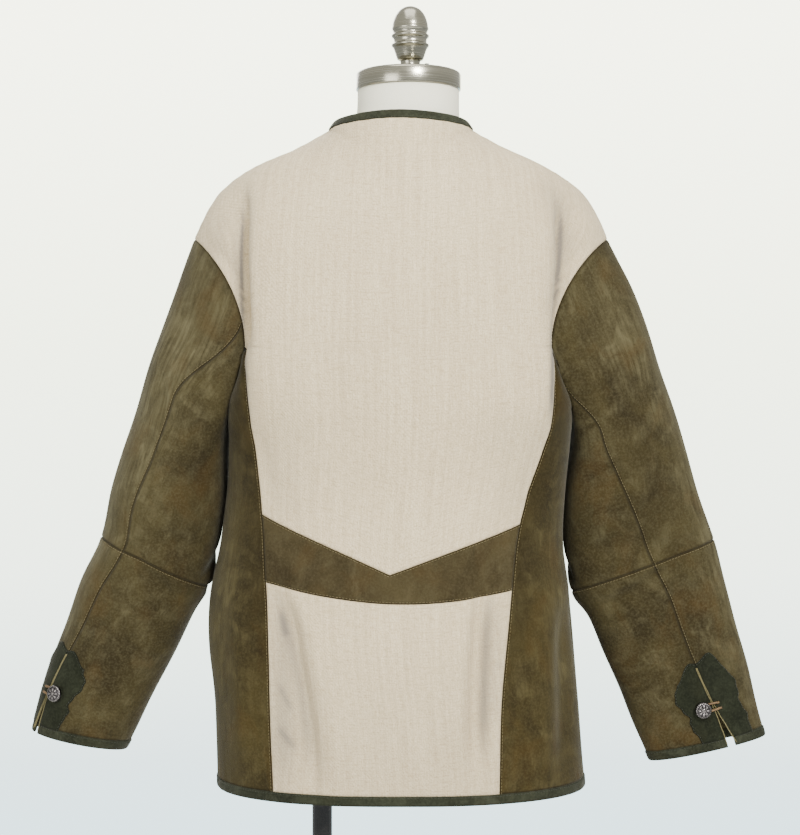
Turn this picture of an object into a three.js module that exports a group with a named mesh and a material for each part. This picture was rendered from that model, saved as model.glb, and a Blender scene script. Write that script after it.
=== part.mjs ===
// A suede and twill jacket on a dress form, in millimetres, +Z up, the front facing -Y.
// The origin is on the floor, at the middle of the bounding box.
import * as THREE from "three";

// Driving sizes of the jacket.
const WALL = 1.8; // cloth and suede
const SEAM_GAP = 0.3; // between pieces sewn side by side
const SHARPEST = -0.9; // cosine of the turn at the sharpest corner of a piece
const BINDING_HEIGHT = 9; // width of every bound edge
const BINDING_OUT = 0.9; // how far a bound edge stands out of the cloth
const BINDING_IN = 2.5; // and how far it reaches inside
const NECK_BINDING_HEIGHT = 8.5;
const HEM_Z = 690;
const PANEL_Z = HEM_Z + BINDING_HEIGHT; // lower edge of the panels
const YOKE_Z = 1150; // level of the widest part of the armholes
const ARMPIT_Z = 1085;
const NECK_SHARE = 0.27; // part of a half row that the neck opening takes
const SHOULDER_Y = -8; // the shoulder seam lies a little to the front
const BODY_ROUNDNESS = 2.35; // exponent of the body's sections
const YOKE_ROUNDNESS = 2.15; // exponent of the arch over the shoulders
const NECK_ARCH = 0.62; // part of that arch which the middle of the neck keeps
const ARCH_SHARE = 0.62; // part of a half row over which it grows to the whole arch
const CORNER_SPREAD = 0.3; // part of a half row over which the neck's corner fades below it
const NECK_DROP = 2.3; // how late the neckline falls away from its sides
const NECK_LEAN = 0.7; // radians, of the cloth at the neckline, behind and in front
const SIDE_LEAN = 0.5; // and beside the neck
const SLEEVE_ROUNDNESS = 2.15;
const SLEEVE_LENGTH = 565;
const SLEEVE_SHIFT = 0.8; // clears the sleeve from the body at the underarm
const SLEEVE_EASE = 4; // and a little further down
const FITTED_SHARE = 0.24; // part of the sleeve that takes the armhole's shape
const ELBOW = 0.6; // place of the elbow seam along the sleeve
const OVERLAP_X = 18; // the closing front reaches this far past the middle
const UNDER_X = -10; // and the other front this far the other way
const OVER_LIFT = 4.4; // the closing front lies this far outside the other
const PATCH_LENGTH = 98;
const PATCH_LIFT = 0.3; // between a patch and the panel below it
const PATCH_WALL = 1.2;
const LOOP_RADIUS = 1.2;
const BUTTON_RADIUS = 9;
const BUTTON_GAP = 0.3; // between a button's shank and what it is sewn to
const FRONT_BUTTON_GAP = 0.45; // the cloth is curved there
const CUFF_BUTTON_IN = 12; // from the vent's edge to its button
const CUFF_BUTTON_UP = 50; // and from the cuff's end
const LOOP_GAP = 0.4; // between the loop and the button's shank
const CENTRE_SHIFT = 2.53; // brings the bounding box to the middle

// Driving sizes of the form and its stand.
const FORM_BOTTOM_Z = 720;
const FORM_CLEARANCE = 3; // from the jacket's outer face at the shoulders
const FORM_SHARE = 0.56; // part of the jacket's shoulder line the form fills
const FORM_NECK_GAP = 10.5; // further in and down where its neck begins
const FORM_END_DROP = 24; // and down at its shoulders' ends
const FORM_NECK = { x: -8, y: -8, radius: 55, z: 1430 };
const CAP = { radius: 57, height: 16 };
const FINIAL_HEIGHT = 75;
const POLE = { x: 85, radius: 10.8 };
const SOCKET_HEIGHT = 46;
const BASE = { radius: 190, thickness: 12 };
const REST_GAP = 0.3; // between parts that stand on each other

const RIGHT_ANGLE = Math.PI / 2;
const clamp = (x, low, high) => Math.min(high, Math.max(low, x));
const lerp = (a, b, f) => a + (b - a) * f;
const smooth = (x, low, high) => {
  const f = clamp((x - low) / (high - low), 0, 1);
  return f * f * (3 - 2 * f);
};
const steps = (from, to, count) =>
  Array.from({ length: count + 1 }, (_, i) => lerp(from, to, i / count));
const point = (x, y, z) => new THREE.Vector3(x, y, z);

// A short table: named columns, one row for each section, fold or seam point.
function table(names, ...rows) {
  const keys = names.split(" ");
  return rows.map((row) => Object.fromEntries(keys.map((key, i) => [key, row[i]])));
}

// All columns of a table at a place between its rows, on smooth curves through the rows.
function at(rows, key, place) {
  const last = rows.length - 1;
  const p = clamp(place, rows[0][key], rows[last][key]);
  let i = 0;
  while (i < last - 1 && p > rows[i + 1][key]) i++;
  const around = [Math.max(i - 1, 0), i, i + 1, Math.min(i + 2, last)].map((k) => rows[k]);
  const x = around.map((row) => row[key]);
  const width = x[2] - x[1];
  const u = (p - x[1]) / width;
  const found = {};
  for (const column of Object.keys(rows[0])) {
    const y = around.map((row) => row[column]);
    const m1 = ((y[2] - y[0]) / (x[2] - x[0])) * width;
    const m2 = ((y[3] - y[1]) / (x[3] - x[1])) * width;
    const [cubic, square] = [2 * (y[1] - y[2]) + m1 + m2, 3 * (y[2] - y[1]) - 2 * m1 - m2];
    found[column] = y[1] + u * (m1 + u * (square + u * cubic));
  }
  return found;
}

// Point of a unit superellipse at an angle, as the sine's and the cosine's side.
function superellipse(angle, exponent) {
  const [s, c] = [Math.sin(angle), Math.cos(angle)];
  const r = (Math.abs(s) ** exponent + Math.abs(c) ** exponent) ** (-1 / exponent);
  return [r * s, r * c];
}

// Outward normal of a surface: a point function of two parameters, with their limits.
function normalAt(surface, a, b) {
  const near = (value, step, [low, high]) => [
    Math.max(value - step, low),
    Math.min(value + step, high),
  ];
  const [a0, a1] = near(a, surface.steps[0], surface.limits[0]);
  const [b0, b1] = near(b, surface.steps[1], surface.limits[1]);
  const alongA = surface.point(a1, b).sub(surface.point(a0, b));
  const alongB = surface.point(a, b1).sub(surface.point(a, b0));
  return alongA.cross(alongB).multiplyScalar(surface.turn).normalize();
}

// The jacket's level sections: sideways shift, half width, depth behind and in front.
const BODY = table(
  "z shift half back front",
  [690, 0, 197, 137, 140],
  [770, 4, 195, 136, 142],
  [836, 10, 196, 132, 143],
  [890, 13, 191, 127, 142],
  [940, 12, 183, 124, 141],
  [1000, 7, 174, 124, 143],
  [1050, 4, 178, 127, 149],
  [1085, 1, 183, 130, 152],
  [1120, 0, 174, 131, 151],
  [1150, 0, 170, 131, 148],
);
// The shoulder line from the neck to the top of the armhole.
const SHOULDER = table(
  "share x z",
  [0, 77, 1388],
  [0.23, 115, 1366],
  [0.5, 163, 1343],
  [0.69, 194, 1321],
  [0.84, 210, 1297],
  [1, 223, 1268],
);
// The seams between the back panels and the side panels, and between those and the fronts.
const SEAMS = table(
  "z backLeft backRight frontLeft frontRight",
  [690, 131, -100, 150, -146],
  [770, 134, -101, 148, -142],
  [830, 136, -106, 146, -138],
  [903, 139, -114, 144, -134],
  [971, 143, -124, 146, -136],
  [1062, 156, -153, 158, -154],
  [1150, 170, -170, 170, -170],
);
// The waist belt's lower edge from its left end to its right end.
const BELT_LOW = table("share z", [0, 907], [0.25, 894], [0.5, 887], [0.75, 889], [1, 899]);
// Its upper edge is a V.
const BELT_HIGH = { left: 976, middle: 916, right: 966 };
// Folds of the body, as lines seen from the back or the front; a depth below 0 is a trough.
const BODY_FOLDS = table(
  "sign x0 z0 x1 z1 width depth",
  [1, 172, 1310, 165, 1150, 11, -15],
  [1, -174, 1300, -163, 1160, 11, -16],
  [1, 150, 1290, 148, 1120, 20, 3],
  [1, -150, 1290, -146, 1120, 20, 3],
  [1, 122, 900, 84, 700, 15, -7],
  [1, 98, 880, 62, 700, 17, 4],
  [1, -82, 890, -72, 720, 13, -8],
  [1, -104, 900, -92, 700, 13, 4],
  [1, 60, 1150, 66, 950, 26, -3],
  [1, -62, 1190, -58, 960, 24, -4],
  [1, -150, 900, -148, 710, 16, 6],
  [1, -172, 880, -172, 720, 13, -6],
  [1, 168, 900, 160, 710, 15, 5],
  [-1, 172, 1300, 165, 1150, 12, -12],
  [-1, -172, 1300, -165, 1150, 12, -12],
  [-1, 105, 880, 92, 700, 17, -6],
  [-1, -108, 880, -96, 700, 17, -6],
  [-1, 62, 900, 70, 740, 22, 4],
  [-1, -66, 900, -74, 740, 22, 4],
);
// The form's level sections.
const FORM_BODY = table(
  "z shift half back front",
  [720, 0, 160, 116, 112],
  [800, 0, 158, 113, 110],
  [880, 0, 140, 98, 100],
  [950, 0, 126, 88, 95],
  [1020, 0, 133, 91, 108],
  [1090, 0, 143, 98, 122],
  [1150, 0, 148, 104, 118],
);

// The part of the jacket's shoulder line that the form fills, rounded off at its end.
function formShoulder(share) {
  const here = at(SHOULDER, "share", share * FORM_SHARE);
  const next = at(SHOULDER, "share", share * FORM_SHARE + 0.01);
  const [dx, dz] = [next.x - here.x, next.z - here.z];
  const length = Math.hypot(dx, dz);
  const atNeck = 1 - smooth(share, 0, 0.15);
  const atEnd = FORM_END_DROP * smooth(share, 0.78, 1.2);
  return {
    x: here.x + (FORM_CLEARANCE * dz) / length - FORM_NECK_GAP * atNeck,
    z: here.z - (FORM_CLEARANCE * dx) / length - FORM_NECK_GAP * atNeck - atEnd,
  };
}

// The two bodies: their sections, shoulder lines, necklines and armholes.
const jacketShoulder = (share) => at(SHOULDER, "share", share);
const JACKET = { bottom: HEM_Z, sections: BODY, shoulder: jacketShoulder, reach: 1 };
const FORM = {
  bottom: FORM_BOTTOM_Z,
  sections: FORM_BODY,
  shoulder: formShoulder,
  reach: FORM_SHARE,
};
const faceOf = (body, sign, depth, neckY, neckZ, armholeY) => ({
  body,
  sign,
  depth,
  neckY,
  neckZ,
  armholeY,
});
const BACK = faceOf(JACKET, 1, "back", 62, 1391, 75);
const FRONT = faceOf(JACKET, -1, "front", -88, 1308, 70);
const FORM_BACK = faceOf(FORM, 1, "back", 53, 1383, 0);
const FORM_FRONT = faceOf(FORM, -1, "front", -77, 1301, 0);

// Depth of the armhole's lower arc at a height, from the armpit up to the yoke level.
function armholeDepth(face, z) {
  const f = clamp((YOKE_Z - z) / (YOKE_Z - ARMPIT_Z), 0, 1);
  return face.armholeY * Math.sqrt(1 - f * f);
}

const heightOf = (face, t) => lerp(face.body.bottom, YOKE_Z, t);
const rowOf = (z) => (z - HEM_Z) / (YOKE_Z - HEM_Z);

// The top edge of the front or back: half the neckline, then the shoulder line.
function topEdge(face, s) {
  const side = Math.sign(s) || 1;
  const share = Math.abs(s) / NECK_SHARE;
  if (share > 1) {
    const along = (Math.abs(s) - NECK_SHARE) / (1 - NECK_SHARE);
    const row = face.body.shoulder(along);
    return point(side * row.x, SHOULDER_Y * (1 - along), row.z);
  }
  const corner = face.body.shoulder(0);
  const [out, deep] = [Math.sin(share * RIGHT_ANGLE), Math.cos(share * RIGHT_ANGLE)];
  const z = lerp(corner.z, face.neckZ, Math.max(deep, 0) ** NECK_DROP);
  return point(side * corner.x * out, lerp(SHOULDER_Y, face.neckY, deep), z);
}

// The top edge as the rows below it take it: averaged over a width that grows downwards.
function fadedEdge(face, t, s) {
  if (t === 2) return topEdge(face, s);
  const spread = Math.min(CORNER_SPREAD * (1 - (t - 1) ** 3), 1 - Math.abs(s));
  const sum = point(0, 0, 0);
  for (const f of [-1, -0.5, 0, 0.5, 1]) sum.add(topEdge(face, s + f * spread));
  return sum.divideScalar(5);
}

// The body before its folds. s runs from -1 to 1 across the front or back; t runs
// from 0 at the hem to 1 at the yoke level in level sections, and on to 2 over the shoulders.
function plainBody(face, t, s) {
  if (t > 1) {
    const low = plainBody(face, 1, s);
    const top = fadedEdge(face, t, s);
    const beyond = Math.max(Math.abs(s) - NECK_SHARE, 0);
    const place = Math.abs(s) - beyond + beyond * face.body.reach;
    const part = lerp(NECK_ARCH, 1, smooth(place, 0, ARCH_SHARE));
    const [rise, depth] = superellipse((t - 1) * part * RIGHT_ANGLE, YOKE_ROUNDNESS);
    const [riseEnd, depthEnd] = superellipse(part * RIGHT_ANGLE, YOKE_ROUNDNESS);
    return point(
      lerp(low.x, top.x, Math.sin((t - 1) * RIGHT_ANGLE) ** 2),
      lerp(top.y, low.y, (depth - depthEnd) / (1 - depthEnd)),
      lerp(low.z, top.z, rise / riseEnd),
    );
  }
  const z = heightOf(face, t);
  const row = at(face.body.sections, "z", z);
  const [across, deep] = superellipse(s * RIGHT_ANGLE, BODY_ROUNDNESS);
  const squared = face.armholeY * smooth(z, 1000, YOKE_Z);
  const edge = lerp(squared, armholeDepth(face, z), Math.abs(s) ** 6);
  return point(
    row.shift + row.half * across,
    face.sign * lerp(edge, row[face.depth], deep),
    z,
  );
}

// How far the folds move the place (x, z), seen from the back or front, outwards.
function foldAt(sign, x, z) {
  let sum = 0;
  for (const fold of BODY_FOLDS.filter((row) => row.sign === sign)) {
    const [dx, dz] = [fold.x1 - fold.x0, fold.z1 - fold.z0];
    const length = Math.hypot(dx, dz);
    const along = ((x - fold.x0) * dx + (z - fold.z0) * dz) / length ** 2;
    const off = ((x - fold.x0) * dz - (z - fold.z0) * dx) / length;
    const ends = smooth(along, -0.12, 0.25) * (1 - smooth(along, 0.75, 1.12));
    sum += fold.depth * Math.exp(-((off / fold.width) ** 2)) * ends;
  }
  return sum;
}

const bodySurface = (face, pointOf) => ({
  point: (t, s) => pointOf(face, t, s),
  steps: [1e-3, 1e-3],
  limits: [[0, 2], [-1, 1]],
  turn: face.sign,
});

// A point of the jacket's outer face, with its folds, moved out by lift.
function bodyPoint(face, t, s, lift = 0) {
  const plain = plainBody(face, t, s);
  const fade = 1 - smooth(Math.abs(s), 0.94, 1);
  const out = foldAt(face.sign, plain.x, plain.z) * fade + lift;
  return plain.addScaledVector(normalAt(bodySurface(face, plainBody), t, s), out);
}

// Outward direction along the neckline: it leans back or forward, and sideways at the sides.
function neckNormal(face, s) {
  const angle = (s / NECK_SHARE) * RIGHT_ANGLE;
  const leaning = NECK_LEAN * Math.cos(angle);
  const sideways = SIDE_LEAN * Math.sin(angle);
  return point(Math.sin(sideways), face.sign * Math.sin(leaning), 0.8).normalize();
}

// The direction that both walls share along a seam that turns outwards.
const mitre = (own, other) => {
  const share = smooth(own.dot(other), 0, 0.6);
  return own.clone().addScaledVector(other, share).normalize();
};

// The same with its outward normal, which the back and the front share at the shoulder seam.
function bodyAt(face, t, s, lift = 0) {
  const normalOf = (side) => normalAt(bodySurface(side, bodyPoint), t, s);
  const p = bodyPoint(face, t, s, lift);
  if (t < 2) return { p, n: normalOf(face) };
  if (Math.abs(s) <= NECK_SHARE) return { p, n: neckNormal(face, s) };
  return { p, n: mitre(normalOf(BACK), normalOf(FRONT)) };
}

// The place s where a face lies at x on the row t.
function shareAt(face, t, x) {
  let [low, high] = [-1, 1];
  for (let i = 0; i < 40; i++) {
    const middle = (low + high) / 2;
    if (plainBody(face, t, middle).x < x) low = middle;
    else high = middle;
  }
  return (low + high) / 2;
}

// The sleeves' sections from the armhole (0) to the cuff (1): the outer and the inner
// end of the section, its middle's depth, its half thickness and its back seam's angle.
const SLEEVE_COLUMNS = "v outX outZ inX inZ y thick seam";
const LEFT_SLEEVE = table(
  SLEEVE_COLUMNS,
  [0, 223, 1268, 187, 1085, 0, 75, 126],
  [0.12, 246, 1203, 188, 1045, -2, 70, 110],
  [0.25, 270, 1138, 189, 1005, -5, 67, 84],
  [0.38, 293, 1065, 193, 965, -8, 64, 69],
  [0.5, 311, 1005, 202, 928, -9, 60, 62],
  [0.6, 325, 948, 212, 893, -10, 57, 61],
  [0.7, 347, 900, 226, 862, -14, 53, 56],
  [0.78, 363, 855, 243, 826, -17, 50, 51],
  [0.86, 381, 812, 262, 790, -20, 46, 45],
  [1, 402, 738, 301, 716, -25, 42, 32],
);
const RIGHT_SLEEVE = table(
  SLEEVE_COLUMNS,
  [0, 224, 1268, 187, 1085, 0, 75, 126],
  [0.12, 255, 1203, 184, 1045, -2, 66, 124],
  [0.25, 278, 1138, 178, 1003, -5, 60, 120],
  [0.38, 301, 1065, 176, 962, -8, 52, 102],
  [0.5, 319, 1005, 178, 925, -9, 44, 90],
  [0.6, 339, 944, 188, 888, -10, 38, 84],
  [0.7, 352, 898, 203, 860, -14, 36, 82],
  [0.78, 364, 855, 220, 820, -17, 33, 81],
  [0.86, 378, 806, 243, 771, -20, 31, 79],
  [1, 397, 731, 271, 703, -25, 28, 68],
);
// Folds of the sleeves, as lines from (v0, phi0) to (v1, phi1).
const SLEEVE_FOLDS = table(
  "side v0 phi0 v1 phi1 width depth",
  [1, 0.5, 120, 0.6, 60, 12, -5],
  [1, 0.66, 130, 0.6, 70, 10, -4],
  [1, 0.3, 130, 0.42, 80, 14, -4],
  [-1, 0.5, 130, 0.6, 60, 12, -5],
  [-1, 0.68, 130, 0.61, 70, 10, -4],
  [-1, 0.28, 140, 0.4, 90, 14, -4],
);
// Half the gap between the cuff vent's edges.
const VENT = table("v half", [0, 0], [0.78, 0], [0.83, 0], [0.92, 0.9], [1, 5]);
// Width of the scalloped patches beside the vent, at a distance from the cuff's end.
const PATCH = table(
  "distance width",
  [0, 25],
  [20, 27],
  [35, 31],
  [50, 29],
  [62, 33],
  [78, 36],
  [92, 30],
  [PATCH_LENGTH, 27],
);

const sleeveTable = (side) => (side > 0 ? LEFT_SLEEVE : RIGHT_SLEEVE);
const radians = (degrees) => (degrees * Math.PI) / 180;
const wrapped = (phi) => ((phi % 360) + 360) % 360;

// The armhole's edge at an angle from its top: 90 is behind, 180 below, 270 in front.
function armholePlace(phi) {
  const angle = wrapped(phi);
  const face = angle <= 180 ? BACK : FRONT;
  const fromTop = angle <= 180 ? angle : 360 - angle;
  if (fromTop <= 90) return { face, t: 2 - fromTop / 90 };
  const drop = (YOKE_Z - ARMPIT_Z) * Math.sin(radians(fromTop - 90));
  return { face, t: rowOf(YOKE_Z - drop) };
}
function armholePoint(side, phi) {
  const { face, t } = armholePlace(phi);
  return plainBody(face, t, side);
}

// The body's outward normal there.
function armholeNormal(side, phi) {
  const { face, t } = armholePlace(phi);
  return normalAt(bodySurface(face, plainBody), t, side);
}

// A sleeve's section on its own.
function sleeveRing(side, v, phi) {
  const row = at(sleeveTable(side), "v", v);
  const [behind, outer] = superellipse(radians(phi), SLEEVE_ROUNDNESS);
  return point(
    side * lerp(row.inX, row.outX, (1 + outer) / 2),
    row.y + row.thick * behind,
    lerp(row.inZ, row.outZ, (1 + outer) / 2),
  );
}

// The sleeve before its folds: its sections, drawn to the armhole's edge at the top.
function plainSleeve(side, v, phi) {
  const fit = 1 - smooth(v, 0, FITTED_SHARE);
  const ring = sleeveRing(side, v, phi);
  if (fit === 0) return ring;
  const edge = armholePoint(side, phi);
  const low = (1 - Math.cos(radians(phi))) / 2;
  const ease = lerp(SLEEVE_SHIFT, SLEEVE_EASE, smooth(v, 0, 0.06));
  edge.addScaledVector(armholeNormal(side, phi), low * ease);
  return ring.addScaledVector(edge.sub(sleeveRing(side, 0, phi)), fit);
}

function sleeveFoldAt(side, v, phi) {
  let sum = 0;
  for (const fold of SLEEVE_FOLDS.filter((row) => row.side === side)) {
    const turn = wrapped(phi - fold.phi0 + 180) - 180;
    const [x, y] = [(v - fold.v0) * SLEEVE_LENGTH, turn];
    const [dx, dy] = [(fold.v1 - fold.v0) * SLEEVE_LENGTH, fold.phi1 - fold.phi0];
    const length = Math.hypot(dx, dy);
    const along = (x * dx + y * dy) / length ** 2;
    const off = (x * dy - y * dx) / length;
    const ends = smooth(along, -0.2, 0.25) * (1 - smooth(along, 0.75, 1.2));
    sum += fold.depth * Math.exp(-((off / fold.width) ** 2)) * ends;
  }
  return sum;
}

const sleeveSurface = (side, pointOf) => ({
  point: (v, phi) => pointOf(side, v, phi),
  steps: [1e-3, 0.2],
  limits: [[0, 1], [-720, 720]],
  turn: side,
});

// A point of a sleeve's outer face, with its folds, moved out by lift.
function sleevePoint(side, v, phi, lift = 0) {
  const plain = plainSleeve(side, v, phi);
  const n = normalAt(sleeveSurface(side, plainSleeve), v, phi);
  return plain.addScaledVector(n, sleeveFoldAt(side, v, phi) + lift);
}

// A sleeve's outward normal; where it is sewn to the armhole it leans to the armhole's own.
function sleeveNormal(side, v, phi) {
  const n = normalAt(sleeveSurface(side, sleevePoint), v, phi);
  const row = sleeveTable(side)[0];
  const [x, z] = [row.outX - row.inX, row.outZ - row.inZ];
  const outer = Math.cos(radians(phi)) / Math.hypot(x, z);
  const round = point(side * x * outer, Math.sin(radians(phi)), z * outer);
  return n.addScaledVector(round, 1.5 * (1 - smooth(v, 0, 0.1))).normalize();
}

// The body's side of the armhole seam.
function armholeBodyAt(side, phi) {
  const n = mitre(armholeNormal(side, phi), sleeveNormal(side, 0, phi));
  return { p: armholePoint(side, phi), n };
}

// A sleeve's point and outward normal.
function sleeveAt(side, v, phi, lift = 0) {
  const n = sleeveNormal(side, v, phi);
  const p = sleevePoint(side, v, phi, lift);
  return { p, n: v > 0 ? n : mitre(n, armholeNormal(side, phi)) };
}

// Draws a grid's edges back by half the seam gap, square to the edge; a corner moves
// so far that it leaves both of its edges.
function drawBack(grid) {
  const [rows, columns] = [grid.length - 1, grid[0].length - 1];
  const moves = new Map();
  const move = (here, inner, before, after) => {
    const along = after.p.clone().sub(before.p).normalize();
    const inwards = inner.p.clone().sub(here.p);
    inwards.addScaledVector(along, -inwards.dot(along));
    moves.set(here.p, [...(moves.get(here.p) ?? []), inwards.normalize()]);
  };
  for (let j = 0; j <= columns; j++) {
    const [a, b] = [Math.max(j - 1, 0), Math.min(j + 1, columns)];
    move(grid[0][j], grid[1][j], grid[0][a], grid[0][b]);
    move(grid[rows][j], grid[rows - 1][j], grid[rows][a], grid[rows][b]);
  }
  for (let i = 0; i <= rows; i++) {
    const [a, b] = [Math.max(i - 1, 0), Math.min(i + 1, rows)];
    move(grid[i][0], grid[i][1], grid[a][0], grid[b][0]);
    move(grid[i][columns], grid[i][columns - 1], grid[a][columns], grid[b][columns]);
  }
  for (const [place, [first, second]] of moves) {
    const share = second ? 1 / (1 + Math.max(first.dot(second), SHARPEST)) : 1;
    const inwards = second ? first.add(second) : first;
    place.addScaledVector(inwards, share * (SEAM_GAP / 2));
  }
}

// A closed solid from triangles of three points each; equal points become one.
function solid(triangles) {
  const places = new Map();
  const positions = [];
  const placeOf = (p) => {
    const key = [p.x, p.y, p.z].map((value) => Math.round(value * 1e4)).join();
    if (!places.has(key)) {
      places.set(key, positions.length / 3);
      positions.push(p.x, p.y, p.z);
    }
    return places.get(key);
  };
  const index = triangles
    .map((corners) => corners.map(placeOf))
    .filter((corners) => new Set(corners).size === 3);
  return new THREE.BufferGeometry()
    .setAttribute("position", new THREE.Float32BufferAttribute(positions, 3))
    .setIndex(index.flat());
}

// Triangles between the rows of a grid of points, split along each cell's shorter diagonal.
function skin(rows) {
  const triangles = [];
  for (let i = 0; i < rows.length - 1; i++) {
    for (let j = 0; j < rows[i].length - 1; j++) {
      const [a, b, c, d] = [rows[i][j], rows[i][j + 1], rows[i + 1][j + 1], rows[i + 1][j]];
      if (a.distanceTo(c) < b.distanceTo(d)) triangles.push([a, b, c], [a, c, d]);
      else triangles.push([a, b, d], [b, c, d]);
    }
  }
  return triangles;
}

// Whether a grid's triangles face its normals.
function facesOut(grid) {
  const i = Math.ceil((grid.length - 1) / 2);
  const j = Math.ceil((grid[0].length - 1) / 2);
  const across = grid[i][j].p.clone().sub(grid[i][j - 1].p);
  const up = grid[i][j].p.clone().sub(grid[i - 1][j].p);
  return across.cross(up).dot(grid[i][j].n) > 0;
}

// A closed wall on a grid of points with normals: its outer face lies out from the grid,
// its inner face inside it.
function wall(grid, out, inside) {
  const outward = facesOut(grid);
  drawBack(grid);
  const shell = (distance) =>
    grid.map((row) => row.map(({ p, n }) => p.clone().addScaledVector(n, distance)));
  const [outer, inner] = [shell(out), shell(-inside)];
  const last = grid.length - 1;
  const column = (rows, j) => rows.map((row) => row.at(j));
  const triangles = [
    ...skin(outer),
    ...skin([...inner].reverse()),
    ...skin([inner[0], outer[0]]),
    ...skin([outer[last], inner[last]]),
    ...skin([column(outer, 0), column(inner, 0)]),
    ...skin([column(inner, -1), column(outer, -1)]),
  ];
  if (!outward) triangles.forEach((corners) => corners.reverse());
  return solid(triangles);
}

// Finishes: colour, roughness and metalness.
const SUEDE = [0x5d5136, 0.95, 0];
const BELT_SUEDE = [0x66593e, 0.95, 0];
const GREEN_SUEDE = [0x33362a, 0.95, 0];
const TAN_LEATHER = [0x7a5b35, 0.8, 0];
const TWILL = [0xd2c9b8, 0.9, 0];
const IVORY = [0xe6e3d8, 0.85, 0];
const STEEL = [0xb9b7ac, 0.35, 1];
const BLACK = [0x16130f, 0.25, 0.4];
const BUTTON_METAL = [0x6d675c, 0.35, 1];

const jacketOnForm = new THREE.Group();
jacketOnForm.position.x = -CENTRE_SHIFT;
function add(name, geometry, [color, roughness, metalness]) {
  const material = new THREE.MeshStandardMaterial({ color, roughness, metalness });
  const mesh = new THREE.Mesh(geometry, material);
  mesh.name = name;
  jacketOnForm.add(mesh);
  return mesh;
}

// Samples that neighbouring pieces share, so that their edges keep one shape.
const HALF_SHARES = [...steps(0, NECK_SHARE, 5), 0.36, 0.46, 0.58, 0.7, 0.81, 0.91, 1];
const YOKE_ROWS = steps(1, 2, 6);
const ARC_STEPS = 5;
const UPPER_STEPS = [0, 0.28, 0.54, 0.76, 0.92, 1]; // from the belt to the yoke level
const beltLow = (share) => at(BELT_LOW, "share", share).z;
const beltHigh = (share) =>
  lerp(share < 0.5 ? BELT_HIGH.left : BELT_HIGH.right, BELT_HIGH.middle, 1 - Math.abs(2 * share - 1));
const sideLevels = (share) => [
  ...steps(PANEL_Z, beltLow(share), 5).slice(0, -1),
  ...steps(beltLow(share), beltHigh(share), 2).slice(0, -1),
  ...UPPER_STEPS.map((f) => lerp(beltHigh(share), YOKE_Z, f)),
];
const seamX = (z, side, name) => at(SEAMS, "z", z)[name + (side > 0 ? "Left" : "Right")];

// A body point at a height, at the part of the way from the middle (0) to a seam (1 or -1).
function betweenSeams(face, name, z, part) {
  const t = rowOf(z);
  const seam = Math.abs(shareAt(face, t, seamX(z, part < 0 ? -1 : 1, name)));
  return bodyAt(face, t, part * seam);
}

// A row above the yoke level, whose end at the armhole is on the sleeve's seam.
function yokeRow(face, t, parts, liftAt = () => 0) {
  return parts.map((s) => {
    if (Math.abs(s) < 1) return bodyAt(face, t, s, liftAt(plainBody(face, t, s).x));
    const fromTop = (2 - t) * 90;
    return armholeBodyAt(s, face === BACK ? fromTop : 360 - fromTop);
  });
}

const BACK_PARTS = [...HALF_SHARES.toReversed(), ...HALF_SHARES.slice(1).map((s) => -s)];
const beltShare = (part) => (1 - part) / 2;

// A back panel between two curves, given as heights at the share of the belt.
function backPanel(low, high, rows) {
  return rows.map((f) =>
    BACK_PARTS.map((part) => {
      const share = beltShare(part);
      return betweenSeams(BACK, "back", lerp(low(share), high(share), f), part);
    }),
  );
}

function buildBack() {
  const upper = backPanel(beltHigh, () => YOKE_Z, UPPER_STEPS).slice(0, -1);
  upper.push(...YOKE_ROWS.map((t) => yokeRow(BACK, t, BACK_PARTS)));
  add("back_upper", wall(upper, 0, WALL), TWILL);
  add("back_belt", wall(backPanel(beltLow, beltHigh, steps(0, 1, 2)), 0, WALL), BELT_SUEDE);
  add("back_lower", wall(backPanel(() => PANEL_Z, beltLow, steps(0, 1, 5)), 0, WALL), TWILL);
}

// A side panel, from the back seam round the side to the front seam, up to the armhole's arc.
function buildSide(name, side, share) {
  const half = steps(0, 1, ARC_STEPS);
  const columns = [
    ...half.map((f) => ({ face: BACK, seam: "back", f, phi: 90 + 90 * f })),
    ...half
      .slice(0, -1)
      .reverse()
      .map((f) => ({ face: FRONT, seam: "front", f, phi: 270 - 90 * f })),
  ];
  const grid = sideLevels(share).map((level) =>
    columns.map(({ face, seam, f, phi }) => {
      if (level === YOKE_Z) return armholeBodyAt(side, phi);
      const top = lerp(YOKE_Z, ARMPIT_Z, Math.sin(f * RIGHT_ANGLE));
      const z = lerp(PANEL_Z, top, (level - PANEL_Z) / (YOKE_Z - PANEL_Z));
      const from = shareAt(face, rowOf(z), seamX(z, side, seam));
      const rise = f > 0 ? smooth(z, 1000, top) : 0;
      return bodyAt(face, rowOf(z), lerp(from, side, f ** (1 - rise)));
    }),
  );
  add(name, wall(grid, 0, WALL), SUEDE);
}

// Lift of the closing front, from none at the side to full at the middle.
const overLift = (x) => OVER_LIFT * smooth(x, -78, -34);
const FRONTS = {
  right: { side: -1, edge: OVERLAP_X, lift: overLift, share: 1 },
  left: { side: 1, edge: UNDER_X, lift: () => 0, share: 0 },
};
// Where a front's panel ends and its edge binding begins.
const panelEdge = (front) => front.edge + front.side * BINDING_HEIGHT;

// A front's place at x on the row t.
function frontAt(front, t, x, lift = 0) {
  return bodyAt(FRONT, t, shareAt(FRONT, t, x), front.lift(x) + lift);
}

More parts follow.
